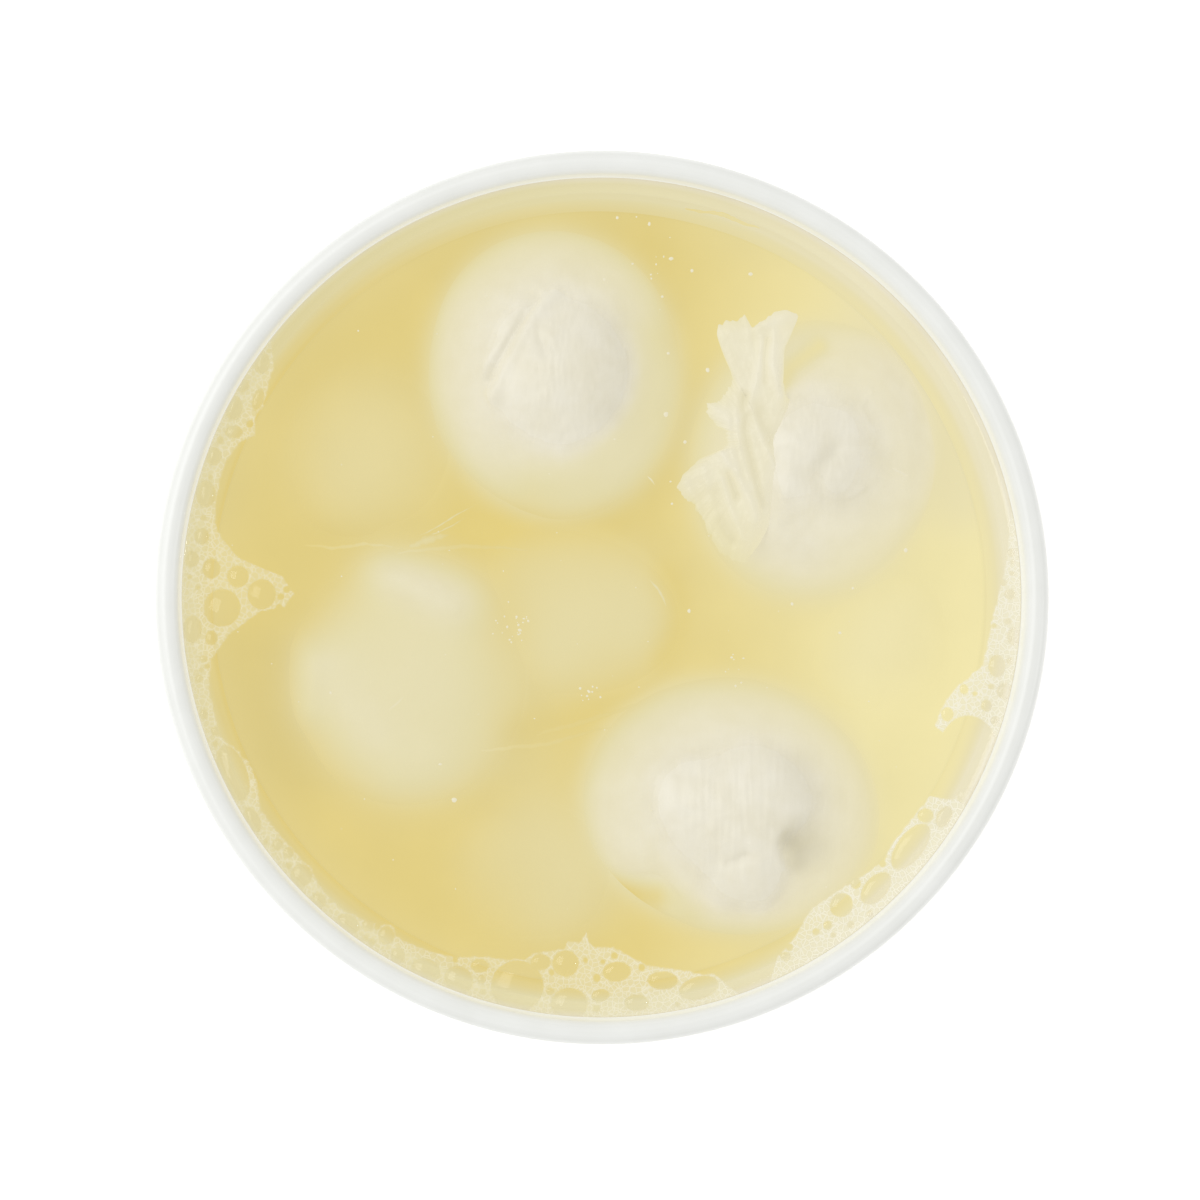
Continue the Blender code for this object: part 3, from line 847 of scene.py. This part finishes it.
# Balls that lie wholly in the whey. A ridge is a line in the ball's own plan, its half width and its rise, and cloud
# is the height up to which the cloud of whey climbs round the ball.
SUNK_BALLS = {
    "sunk_left": {
        "centre": (-41.8, -17.7),
        "half": (28.0, 30.0, 24.0),
        "crown": -10.5,
        "ridges": [
            ([(-4.5, 23.5), (2.0, 21.0), (10.5, 17.0)], 5.5, 10.0),
            ([(-16.0, 5.0), (-14.5, -5.0), (-9.0, -11.0)], 6.0, 3.0),
            ([(-1.0, -21.0), (5.0, -20.0)], 8.0, 5.0),
            ([(-19.0, 14.0), (-12.0, 19.0)], 4.5, -2.0),
            ([(-22.0, 4.0), (-23.0, -7.0)], 4.0, 7.0),
        ],
        "cloud": 75.0,
    },
    "sunk_middle": {"centre": (-4.2, -3.0), "half": (30.0, 25.0, 24.0), "crown": -20.0, "turn": -14.0,
                    "ridges": [([(9.0, 0.0), (13.0, 1.0)], 11.0, 1.5)], "cloud": 73.0},
    "sunk_upper_left": {"centre": (-50.0, 33.0), "half": (27.0, 26.0, 23.0), "crown": -22.5,
                        "ridges": [([(-9.0, -12.0), (-6.0, -12.0)], 10.0, 2.0)], "cloud": 72.5},
    "sunk_right": {"centre": (63.0, -10.0), "half": (25.0, 27.0, 23.0), "crown": -27.0,
                   "ridges": [([(-11.0, -9.0), (6.0, 12.0)], 9.0, 2.5)], "cloud": 72.0},
    "sunk_lower_left": {"centre": (-14.0, -60.0), "half": (27.0, 25.0, 23.0), "crown": -24.0,
                        "ridges": [([(-13.0, 7.0), (-10.0, 7.0)], 9.0, 2.0)], "cloud": 72.0},
}
ALL_BALLS = (*SURFACE_BALLS, *SUNK_BALLS.values())
SUNK_SEGMENTS = 140
SUNK_RINGS = 90


# ---------------------------------------------------------------------------------------------- neck

NECK_THROAT = (36.0, 34.0)
# The torn edge of the spread neck: direction from the throat in degrees, and reach.
NECK_EDGE = [
    (60, 9.6), (70, 10.4), (76, 12.5), (79, 17), (80.5, 21), (82, 24), (83.4, 27.6), (85, 28), (88.7, 26.8),
    (94, 25.4), (98.7, 24.3), (101, 27.2), (105, 26.8), (110, 26.9), (114, 26.4), (116.6, 25), (117.8, 21.5),
    (119, 17.5), (121, 15.2), (125, 14.2), (133, 13.5), (141, 13.7), (149.7, 15.2), (156, 14.6), (159, 13.6),
    (163, 12.2), (168.4, 9.4), (186, 9.2), (192, 10.4), (195.5, 15), (199, 17.4), (204, 20.8), (207, 22.2),
    (213.3, 22.2), (221, 21.2), (228.7, 22), (237, 24), (245, 26), (253, 27.4), (259, 27), (264, 23), (272, 17),
    (288, 11), (323, 7.4), (360, 6.8), (393, 8), (417, 9.4), (420, 9.6),
]
NECK_HOOK = 3.4  # how far the tip's right end leans over
NECK_BURIED = -15  # direction in which it sinks into the ball
NECK_JOINT = -40  # direction in which the ball's own cover takes over
# Strands and hollows of the neck: a line, its half width and its height, negative where it is pressed in.
NECK_STRANDS = [
    ([(34.5, 56.0), (34.1, 50.3), (33.2, 46.0), (31.8, 41.7), (29.6, 38.0)], 0.9, 0.6),
    ([(37.2, 57.0), (36.9, 50.3), (37.8, 46.0), (38.8, 43.5)], 1.0, 0.7),
    ([(35.6, 55.6), (35.0, 51.4), (35.2, 46.5)], 0.55, -0.55),
    ([(33.0, 57.0), (29.5, 57.4), (26.0, 57.0)], 2.2, 0.5),
    ([(33.5, 58.3), (37.6, 60.4), (41.8, 61.8)], 1.6, 1.0),
    ([(35.5, 58.6), (41.5, 60.0)], 1.2, 0.4),
    ([(30.8, 43.5), (30.6, 38.4), (31.2, 34.1), (32.5, 28.7), (33.8, 23.3), (34.8, 20.0)], 1.0, -0.9),
    ([(33.6, 39.5), (35.0, 37.0), (36.4, 34.0)], 2.3, -0.9),
    ([(32.4, 40.5), (33.6, 36.2), (36.0, 31.0), (38.2, 26.5)], 0.7, 0.6),
    ([(25.4, 32.4), (27.2, 28.8), (29.8, 25.2), (31.9, 21.1), (33.4, 17.0)], 1.1, 0.9),
    ([(27.4, 38.0), (27.6, 33.0), (29.3, 27.6)], 0.8, 0.5),
    ([(29.0, 40.5), (29.2, 35.0), (30.6, 29.0), (32.4, 24.0)], 0.6, 0.35),
    ([(27.4, 26.9), (28.4, 24.0), (29.0, 21.8)], 0.9, -0.8),
    ([(25.9, 25.6), (27.5, 20.0), (29.5, 15.0), (30.5, 12.5)], 0.8, 0.75),
    ([(24.1, 22.5), (25.9, 15.7), (28.2, 12.2)], 1.1, -0.6),
    ([(18.0, 25.0), (20.8, 18.9), (23.6, 14.4), (26.4, 10.4)], 1.3, 0.7),
    ([(22.0, 28.0), (23.5, 22.5), (25.0, 18.0)], 1.0, 0.4),
    ([(24.3, 41.2), (26.8, 39.4)], 2.0, 0.5),
]
NECK_RISE = 0.9
NECK_SINK = 1.5
NECK_THICKNESS = 4.8
NECK_RELIEF = 0.9  # share of the strands' heights
NECK_SOAK = 0.17
NECK_SEGMENTS = 900
NECK_RINGS = 80


def make_neck(material):
    """The gathered neck of a ball: a torn, soaked sheet of strands spread on the whey, which sinks into the ball."""
    angles = np.linspace(0, math.tau, NECK_SEGMENTS, endpoint=False)
    around = np.degrees(angles)
    reach = value_towards(NECK_EDGE, around)
    buried = np.clip((np.cos(angles - math.radians(NECK_BURIED)) - 0.1) * 2.2, 0, 1)
    circle = polar_rings([20], 0, NECK_SEGMENTS)[0]
    reach += (1 - buried) * (0.7 * noise_at(circle, 1.5, 3) + 0.45 * noise_at(circle, 0.6, 8))
    top = np.linspace(0, 1, NECK_RINGS + 1)[1:] ** 0.85
    outwards = np.concatenate([top, top[-2::-4]])  # rings of the upper side, then of the underside
    spread = outwards[:, None] * reach
    rings = polar_rings(spread, 0, NECK_SEGMENTS) + (*NECK_THROAT, 0)
    hook = np.clip((spread - 20) / 7, 0, 1) * np.clip((87 - around) / 4, 0, 1) * (around > 60)
    rings[:, :, 0] += NECK_HOOK * hook
    shape = spread.shape
    plan = rings[:, :, :2].reshape(-1, 2)
    strands = NECK_RELIEF * relief(plan, NECK_STRANDS)
    rough = 0.2 * noise_at(plan, 2.4, 6) + 0.08 * noise_at(plan, 0.8, 9)
    low = np.clip((36 - plan[:, 1]) / 12, 0, 1).reshape(shape)  # the lower lobe lies a little deeper
    height = NECK_RISE - (0.8 + NECK_SINK * low) * (outwards**4)[:, None] - 0.5 * low
    height = WHEY_LEVEL + height + (strands + rough).reshape(shape)
    inside = ball_top(NECKED_BALL, plan).reshape(shape) - 2.0
    share = buried * (outwards**1.4)[:, None]
    rings[:, :, 2] = height * (1 - share) + inside * share
    thick = NECK_THICKNESS * np.sqrt(1 - outwards**6)
    rings[len(top):, :, 2] -= thick[len(top):, None]
    middle = (*NECK_THROAT, WHEY_LEVEL + NECK_RISE - 0.7)
    below = (*NECK_THROAT, WHEY_LEVEL + NECK_RISE - NECK_THICKNESS)
    points, faces = capped_rings(rings, middle, below)
    neck = new_piece("burrata_neck", points, faces, material)
    soak = NECK_SOAK - 0.1 * strands + 0.2 * np.repeat(outwards**7, NECK_SEGMENTS) + 0.08 * rough
    soak += 0.03 * low.ravel()
    # Where the neck runs into the ball it is covered as the ball is.
    joining = np.clip(1.5 * np.cos(angles - math.radians(NECK_JOINT)) + 0.45, 0, 1) * outwards[:, None] ** 1.5
    ball_cover = sight_share(WHEY_LEVEL - ball_top(NECKED_BALL, plan)).reshape(shape)
    soak = (soak.reshape(shape) * (1 - joining) + ball_cover * joining).ravel()
    set_attribute(neck, "soak", np.concatenate([np.clip(soak, 0.03, 0.6), [NECK_SOAK, 0.5]]))
    # Painted shade in the neck's pressed-in grooves.
    set_attribute(neck, "painted_shade", np.concatenate([np.clip(-0.11 * strands, 0, 0.12), [0.0, 0.0]]))
    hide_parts("burrata_necked")


# ---------------------------------------------------------------------------------------------- foam

# The foam's inner edge: direction from the tub's middle in degrees, and width of the foam from the wall.
FOAM_EDGE = [
    (142, 0), (145, 4.2), (149, 6), (152, 6.2), (155, 7.9), (157, 5.5), (160.5, 4.2), (166, 4.8), (169, 5.7),
    (171, 7.4), (173.7, 11.6), (176.2, 21.6), (179.3, 24.1), (181.7, 22), (182.3, 17), (185.6, 10), (189, 5.4),
    (193, 3.6), (200, 3), (205, 6.6), (208, 6.3), (212, 3.9), (222, 4.8), (227, 3.2), (231, 3), (235.6, 5.2),
    (240, 5), (247, 6.4), (252, 9.2), (257.8, 10.3), (259, 12.2), (264, 14.5), (264.3, 16), (266.3, 15.9),
    (267.4, 18.4), (267.8, 16), (269, 15), (272, 15), (277, 10.6), (282, 8.4), (287, 5), (289, 0), (293.6, 0),
    (296, 4.2), (300, 6.5), (303.5, 9.5), (309, 9.3), (317, 7.2), (320, 8.5), (326, 8.2), (328.8, 7.8),
    (330, 3), (332, 1.6), (336, 1.4), (338.9, 13.5), (343, 13.2), (346, 11.3), (350, 6.9), (356, 6.4),
    (360.6, 4.8), (364, 3.2), (369, 1.5), (372, 0),
]
# The larger bubbles: centre, half sizes, and turn in degrees.
BUBBLES = [
    (-73.2, 50.5, 1.7, 2.3, 0), (-77.4, 45.7, 1.5, 1.5, 0), (-74.0, 42.6, 1.1, 2.4, -18),
    (-79.2, 40.8, 1.9, 2.6, 0), (-79.2, 35.6, 1.9, 1.3, 0), (-83.5, 30.4, 1.7, 1.9, 0),
    (-85.2, 22.3, 2.1, 2.8, 0), (-86.1, 13.2, 1.5, 1.7, 0), (-88.2, 8.3, 1.5, 1.7, 0),
    (-84.0, 6.2, 1.9, 2.1, 0), (-78.3, 4.5, 2.3, 2.3, 0), (-73.2, 0.7, 3.0, 3.2, 0),
    (-81.7, -2.2, 3.9, 4.0, 0), (-88.1, -6.8, 2.0, 2.9, 0), (-84.0, -8.7, 1.3, 1.5, 0),
    (-79.4, -37.8, 3.0, 6.2, 20), (-75.1, -47.8, 1.5, 2.8, 25), (-64.7, -59.8, 2.3, 2.4, 0),
    (-60.9, -65.2, 1.5, 1.7, 20), (-54.6, -70.2, 2.6, 1.9, -30), (-46.4, -72.7, 1.7, 1.9, 0),
    (-43.9, -77.1, 1.5, 1.7, 0), (-37.9, -80.2, 3.2, 2.4, -20), (-30.8, -82.3, 3.2, 2.8, -35),
    (-26.3, -79.3, 1.9, 1.4, 0), (-18.2, -83.6, 5.6, 5.4, 0), (-13.2, -78.5, 2.1, 1.7, 0),
    (-7.8, -78.8, 2.8, 2.8, 0), (3.2, -80.6, 3.0, 2.1, 5), (13.1, -82.5, 3.2, 1.9, 0),
    (-7.0, -87.5, 3.9, 3.4, 0), (-0.3, -85.7, 1.9, 1.3, 10), (7.5, -87.3, 2.6, 1.7, 0),
    (20.9, -84.1, 4.3, 2.4, 15), (66.6, -53.7, 2.8, 5.8, -38), (59.1, -62.7, 2.4, 4.1, -42),
    (51.6, -66.3, 2.4, 2.6, -30), (69.8, -47.0, 1.7, 1.5, 0), (73.8, -47.3, 1.5, 2.4, -30),
    (78.3, -42.8, 1.7, 1.7, 0), (85.2, -14.8, 1.8, 2.4, 0), (86.9, -20.2, 1.7, 1.7, 0),
    (74.5, -25.2, 1.3, 1.5, 0), (88.8, -8.4, 1.3, 1.9, 0), (79.0, -34.5, 6.8, 9.0, 0),
]
FOAM_WALL = WHEY_EDGE - 0.15
FOAM_STEP = 0.2  # spacing of the foam's mesh
FOAM_SPAN = 26.5  # how far its mesh reaches from the wall
FOAM_RISE = 0.28
FROTH_PAINTED_GLOW = 0.72  # share of the froth's colour painted as a glow, which stands in for the light its own scattering gives
BUBBLE_WALL = 0.24
RING_WIDTH = 0.5
SMALL_BUBBLES = [(1.0, 360), (0.65, 360)]  # radius and number tried
SMALL_SPAN = 24  # how far from the wall they are tried
DOME_SEGMENTS = 36
DOME_RINGS = 8
DOME_RISE = 0.42  # by a bubble's smaller half size
DOME_LIFT = 0.15  # over the whey's level


def ellipse_apart(plan, bubble):
    """About how far each point lies outside an oval bubble."""
    x, y, wide, tall, turn = bubble
    along, across = in_own_axes(plan, (x, y), turn).T
    return (np.hypot(along / wide, across / tall) - 1) * min(wide, tall)


def small_bubbles(random):
    """Small round bubbles that fill the foam between the larger ones, without touching."""
    placed = list(BUBBLES)
    for radius, tries in SMALL_BUBBLES:
        angles = random.uniform(FOAM_EDGE[0][0], FOAM_EDGE[-1][0], tries)
        shares = random.uniform(0, 1, tries)
        sizes = radius * random.uniform(0.72, 1.2, tries)
        for angle, share, size in zip(angles, shares, sizes):
            width = value_towards(FOAM_EDGE, angle)
            if width < 1.2 or share * SMALL_SPAN > width:
                continue
            out = FOAM_WALL - size - share * SMALL_SPAN * max(0.0, width - 1.6 * size) / width
            spot = np.array([[out * math.cos(math.radians(angle)), out * math.sin(math.radians(angle))]])
            if all(ellipse_apart(spot, b)[0] > size + BUBBLE_WALL * 0.6 for b in nearby(placed, spot[0])):
                placed.append((spot[0, 0], spot[0, 1], size, size * random.uniform(0.85, 1.15), 0))
    return placed[len(BUBBLES):]


def nearby(bubbles, spot):
    """The bubbles that may touch a small one at a spot."""
    return [b for b in bubbles if abs(b[0] - spot[0]) < 11 and abs(b[1] - spot[1]) < 11]


def make_froth(bubbles, material):
    """The foam's net of tiny bubbles: a raised skin with an opening over each bubble."""
    angles = np.arange(FOAM_EDGE[0][0], FOAM_EDGE[-1][0], math.degrees(FOAM_STEP / WHEY_EDGE))
    rows = np.arange(0, FOAM_SPAN, FOAM_STEP)
    radius, around = np.meshgrid(FOAM_WALL - rows, np.radians(angles), indexing="ij")
    plan = np.stack([radius * np.cos(around), radius * np.sin(around)], -1).reshape(-1, 2)
    inside = (value_towards(FOAM_EDGE, angles) - rows[:, None]).reshape(-1)
    wobble = 0.35 * noise_at(plan, 1.3, 4)
    inside += wobble
    apart = np.full(len(plan), 9.0)
    ring = np.full(len(plan), -9.0)
    for place, bubble in enumerate(bubbles):
        reach = max(bubble[2], bubble[3]) + 1.5
        close = np.flatnonzero(np.abs(plan - bubble[:2]).max(1) < reach)
        out = ellipse_apart(plan[close], bubble)
        apart[close] = np.minimum(apart[close], out)
        if place < len(BUBBLES) - 1:
            ring[close] = np.maximum(ring[close], RING_WIDTH + wobble[close] - out)
    inside = np.maximum(inside, ring)
    froth = np.clip(inside / 0.35, 0, 1) * np.clip(apart / BUBBLE_WALL + 0.35, 0, 1)
    height = surface_height(plan) + 0.05 + FOAM_RISE * froth * (0.8 + 0.15 * noise_at(plan, 0.55, 7))
    faces = grid_faces(len(rows), len(angles), wrap=False)
    faces = faces[froth[faces].max(1) > 0.02]
    used, places = np.unique(faces, return_inverse=True)
    points = np.column_stack([plan, height])[used]
    item = new_piece("foam_net", points, places.reshape(-1, 4).tolist(), material, closed=False)
    set_attribute(item, "froth", froth[used])


def make_domes(bubbles, material):
    """The clear domes of the bubbles that are large enough to see."""
    shares = np.linspace(1, 0, DOME_RINGS, endpoint=False)
    rings = polar_rings(shares, np.sqrt(1 - shares**2), DOME_SEGMENTS).reshape(-1, 3)
    dome = np.vstack([rings, [(0, 0, 1)]])
    last = (DOME_RINGS - 1) * DOME_SEGMENTS
    points, faces = [], []
    for place, (x, y, wide, tall, turn) in enumerate(bubbles):
        start = place * len(dome)
        plan = in_own_axes(dome[:, :2] * (wide, tall), (0, 0), -turn) + (x, y)
        plan *= np.minimum(1, FOAM_WALL / np.hypot(plan[:, 0], plan[:, 1]))[:, None]
        height = WHEY_LEVEL + DOME_LIFT + DOME_RISE * min(wide, tall) * dome[:, 2]
        points.append(np.column_stack([plan, height]))
        faces += (grid_faces(DOME_RINGS, DOME_SEGMENTS) + start).tolist()
        for column in range(DOME_SEGMENTS):
            aside = (column + 1) % DOME_SEGMENTS
            faces.append([start + last + column, start + last + aside, start + last + DOME_SEGMENTS])
    new_piece("foam_domes", np.vstack(points), faces, material, closed=False)


def froth_material():
    """Pale froth of bubbles too small to model, see-through where it thins out, paler towards the right as painted
    light, with a painted glow.
    """
    material, tree, shader = new_material("froth")
    sockets = {"Vector": place_in_mm(tree), "Scale": 0.9}
    cells = add_node(tree, "ShaderNodeTexVoronoi", sockets, feature="DISTANCE_TO_EDGE")
    lines = ramp(tree, cells.outputs["Distance"], [(0.0, 1.0), (0.12, 0.0)])
    # Painted light: the froth is paler and denser towards the right.
    painted_light_rightness = math_node(tree, "MULTIPLY_ADD", split_place(tree)["X"], 0.012, 0.3, clamp=True)
    between = mix_colour(tree, painted_light_rightness, colour_of(233, 225, 186), colour_of(242, 237, 211))
    walls = mix_colour(tree, painted_light_rightness, colour_of(240, 234, 206), colour_of(246, 242, 224))
    lit, painted_glow_colour = split_lit_and_painted_glow(tree, FROTH_PAINTED_GLOW, mix_colour(tree, lines, between, walls))
    density = math_node(tree, "MULTIPLY_ADD", painted_light_rightness, 0.3, 0.42)
    thick = math_node(tree, "MULTIPLY_ADD", lines, 0.25, density)
    alpha = math_node(tree, "MULTIPLY", attribute_node(tree, "froth"), thick, clamp=True)
    bump = add_node(tree, "ShaderNodeBump", {"Height": lines, "Strength": 0.06, "Distance": 0.15 * MM})
    set_inputs(tree, shader, {"Base Color": lit, "Emission Color": painted_glow_colour, "Emission Strength": 1.0, "Alpha": alpha,
                              "Normal": bump.outputs[0], "Roughness": 0.45, "Specular IOR Level": 0.12})
    return material


# ---------------------------------------------------------------------------------------------- specks

SPECKS = [
    (13.0, 64.8), (14.3, 52.6), (-24.8, 65.0), (0.5, 68.5), (3.3, 81.8), (10.2, 80.5), (19.4, 70.4), (14.9, 73.0),
    (13.8, 39.5), (17.9, 33.5), (15.1, 20.2), (22.8, 49.0), (32.0, 69.7), (54.1, 2.0), (41.0, -1.4), (18.8, -2.9),
    (65.5, 10.2), (51.3, -7.6), (-17.7, -7.0), (-58.4, -20.5), (-34.8, -35.9), (-31.8, -43.6),
]
SCATTERED_SPECKS = 60
# Clusters of bits: centre, spread and number.
SPECK_CLUSTERS = [((-19.3, -5.8), 3.4, 26), ((-2.6, -21.0), 2.2, 12), ((29.0, -16.0), 3.0, 8), ((12.0, 74.0), 5.0, 8)]
# Strands of curd and streaks in the surface's film, and one painted highlight: a line, its half width, and the whey's
# cover that it adds.
STRANDS = [
    ([(-39.3, 13.4), (-34.6, 15.6), (-31.0, 18.0), (-27.5, 19.8)], 0.22, -0.4),
    ([(-38.6, 12.6), (-34.0, 14.6), (-29.2, 17.2)], 0.18, -0.3),
    ([(-41.5, 11.0), (-37.0, 12.6), (-33.0, 13.4)], 0.9, -0.2),
    ([(-64.0, 11.4), (-58.0, 10.6), (-51.0, 11.6), (-45.0, 10.8)], 0.4, -0.12),
    ([(-44.0, 9.6), (-30.0, 11.2), (-16.0, 10.2)], 0.5, -0.08),
    ([(9.8, 26.2), (10.6, 25.4), (11.4, 24.2)], 0.18, -0.5),
    # A painted highlight: a pale streak along the middle sunk ball's right edge.
    ([(10.2, 3.9), (11.9, 2.0), (13.2, -0.2), (13.9, -1.8)], 0.3, -0.3),
    ([(-14.0, -29.6), (-4.0, -26.8), (8.0, -23.0)], 0.6, -0.05),
    ([(-26.0, -33.0), (-12.0, -31.6), (2.0, -27.8)], 0.5, -0.06),
    ([(18.0, 84.0), (26.0, 82.5), (34.0, 79.6)], 0.4, -0.2),
    ([(-46.0, -24.6), (-42.6, -21.0)], 0.25, -0.12),
    ([(62.6, 28.0), (66.0, 26.2)], 0.3, -0.16),
]


def make_strands(fog, material):
    """Faint strands and streaks just under the surface: ribbons that thin out at their ends."""
    points, faces, soak = [], [], []
    for place, (line, width, cover) in enumerate(STRANDS):
        line = np.array(line)
        length = np.append(0, np.cumsum(np.linalg.norm(np.diff(line, axis=0), axis=1)))
        along = np.linspace(0, length[-1], max(8, int(length[-1] / 0.4)))
        middle = np.column_stack([np.interp(along, length, line[:, axis]) for axis in (0, 1)])
        middle[:, 1] += 0.35 * noise_at(middle, 2.5, place)
        ahead = np.gradient(middle, axis=0)
        aside = np.column_stack([-ahead[:, 1], ahead[:, 0]]) / np.linalg.norm(ahead, axis=1)[:, None]
        taper = np.sin(np.linspace(0.08, math.pi - 0.08, len(along))) ** 0.6
        taper *= 1 + 0.5 * noise_at(middle, 1.1, place + 30)
        start = sum(len(part) for part in points)
        steps = np.linspace(-1, 1, 5)
        for step in steps:
            side = middle + aside * (width * taper * step)[:, None]
            points.append(np.column_stack([side, np.full(len(side), WHEY_LEVEL - 0.35)]))
            around = soak_of(points[-1] - (0, 0, 20), fog, np.ones(len(side)))
            soak.append(around + cover * taper.clip(0, 1) * (1 - step**2))
        faces += (grid_faces(len(steps), len(along), wrap=False) + start).tolist()
    item = new_piece("whey_strands", np.vstack(points), faces, material, closed=False)
    set_attribute(item, "soak", np.clip(np.concatenate(soak), 0, 1))


def make_specks(random, material):
    """Tiny bits of curd that float on the whey."""
    spots = [(x, y, random.uniform(0.28, 0.5)) for x, y in SPECKS]
    for centre, spread, count in SPECK_CLUSTERS:
        for _ in range(count):
            x, y = random.normal(0, spread / 2, 2)
            spots.append((centre[0] + x, centre[1] + y, random.uniform(0.1, 0.26)))
    for _ in range(SCATTERED_SPECKS):
        radius = 84 * math.sqrt(random.uniform(0, 1))
        angle = random.uniform(0, math.tau)
        spots.append((radius * math.cos(angle), radius * math.sin(angle), random.uniform(0.08, 0.2)))
    shape = bmesh.new()
    for x, y, size in spots:
        made = bmesh.ops.create_icosphere(shape, subdivisions=2, radius=1.0)
        scale = Vector((size * random.uniform(0.7, 1.3), size * random.uniform(0.7, 1.3), size * 0.5))
        offset = Vector(random.uniform(0, 99, 3))
        for vertex in made["verts"]:
            bump = 1 + 0.35 * noise.noise(vertex.co * 1.3 + offset)
            vertex.co = (vertex.co * scale * bump + Vector((x, y, WHEY_LEVEL + 0.1))) * MM
    mesh = bpy.data.meshes.new("curd_specks")
    shape.to_mesh(mesh)
    shape.free()
    item = add_piece(mesh, material)
    set_attribute(item, "soak", np.full(len(mesh.vertices), 0.2))


# ---------------------------------------------------------------------------------------------- studio

VIEW_CENTRE = (-0.54, -0.54)  # the middle of the picture, in plan
VIEW_WIDTH = 257.1  # what the picture spans at the rim's height
VIEW_DISTANCE = 1300.0
VIEW_ASIDE = -25.0  # the camera hangs a little to the left, so more of the right inner wall shows
FLOOR_SIZE = 4000.0
FLOOR_DROP = 0.2  # how far it lies under the tub
FLOOR_LIGHT = 0.42  # its own light, which keeps it pale
WORLD_LIGHT = 0.6
# Area lights: name, place, size and power.
LIGHTS = [
    ("key", (-600, 200, 1100), 800, 5.4),
    ("side", (-1200, 100, 700), 500, 0.8),
    ("glint", (1100, -150, 700), 90, 1.0),
]


def make_studio():
    """The world's even light and the area lights."""
    scene = bpy.context.scene
    scene.world = bpy.data.worlds.new("studio")
    scene.world.use_nodes = True
    tree = scene.world.node_tree
    set_inputs(tree, tree.nodes["Background"], {"Color": WHITE, "Strength": WORLD_LIGHT})
    scene.view_settings.view_transform = "Standard"
    for name, place, size, power in LIGHTS:
        data = bpy.data.lights.new(name, "AREA")
        data.size = size * MM
        data.energy = power
        light = bpy.data.objects.new(name, data)
        light.location = Vector(place) * MM
        light.rotation_euler = (Vector((0, 0, WHEY_LEVEL)) * MM - light.location).to_track_quat("-Z", "Y").to_euler()
        scene.collection.objects.link(light)


def make_floor():
    """A pale floor, which belongs to the stage."""
    shape = bmesh.new()
    bmesh.ops.create_grid(shape, x_segments=1, y_segments=1, size=FLOOR_SIZE / 2 * MM)
    mesh = bpy.data.meshes.new("floor")
    shape.to_mesh(mesh)
    shape.free()
    material, tree, shader = new_material("pale_floor")
    set_inputs(tree, shader, {"Base Color": (0.93, 0.93, 0.93, 1.0), "Roughness": 0.8,
                              "Emission Color": WHITE, "Emission Strength": FLOOR_LIGHT})
    mesh.materials.append(material)
    floor = bpy.data.objects.new("floor", mesh)
    floor.location.z = -FLOOR_DROP * MM
    bpy.context.scene.collection.objects.link(floor)


def make_camera():
    """The camera over the tub, with the photo's view."""
    data = bpy.data.cameras.new("camera")
    camera = bpy.data.objects.new("camera", data)
    bpy.context.scene.collection.objects.link(camera)
    bpy.context.scene.camera = camera
    target = Vector((*VIEW_CENTRE, TUB_HEIGHT))
    place = target + Vector((VIEW_ASIDE, 0, VIEW_DISTANCE))
    camera.location = place * MM
    camera.rotation_euler = (0, math.atan2(VIEW_ASIDE, VIEW_DISTANCE), 0)
    data.sensor_fit = "HORIZONTAL"
    data.angle = 2 * math.atan(VIEW_WIDTH / 2 / (target - place).length)
    data.clip_start = 0.01
    data.clip_end = 10


def main():
    """Builds every piece, then the stage."""
    random = np.random.default_rng(5)
    group = whey_group()
    wet = curd_material(group, "wet_curd", 1.0)
    sunk = curd_material(group, "curd_in_whey", 0.0)
    surface = clear_film_material("whey_surface", colour_of(232, 216, 150), 0.03, 0.02)
    film = clear_film_material("bubble_film", colour_of(240, 232, 200), 0.03, 0.04)
    fog = make_fog()

    make_tub(plastic_material(group))
    make_whey(surface, cloudy_material(group, "whey_at_wall", True))
    make_depths(fog, cloudy_material(group, "cloudy_whey", False))
    make_ball("creased_burrata", CREASED_BALL, skin_grain(2, 3.0, 0.08), fog, sunk,
              CREASED_LINES, CREASED_PAINTED_SHADES, CREASED_COVER_AND_PAINTED_LIGHT, wet, "burrata_creased")
    make_ball("necked_burrata", NECKED_BALL, skin_grain(5, 3.0, 0.08), fog, sunk,
              NECKED_LINES, NECKED_PAINTED_SHADES, NECKED_COVER_AND_PAINTED_LIGHT, wet, "burrata_necked")
    make_ball("dimpled_burrata", DIMPLED_BALL, skin_grain(9, 9.0, 0.12), fog, sunk,
              DIMPLED_LINES, DIMPLED_PAINTED_SHADES, DIMPLED_COVER_AND_PAINTED_LIGHT, wet, "burrata_dimpled")
    make_neck(wet)
    for place, (name, ball) in enumerate(SUNK_BALLS.items()):
        make_ball(name, ball, skin_grain(20 + place, 3.0, 0.08), fog, sunk)
    make_strands(fog, sunk)
    small = small_bubbles(random)
    make_froth(BUBBLES + small, froth_material())
    make_domes(BUBBLES[:-1] + [b for b in small if b[2] > 0.8], film)
    make_specks(random, wet)
    make_studio()
    make_floor()
    make_camera()


main()
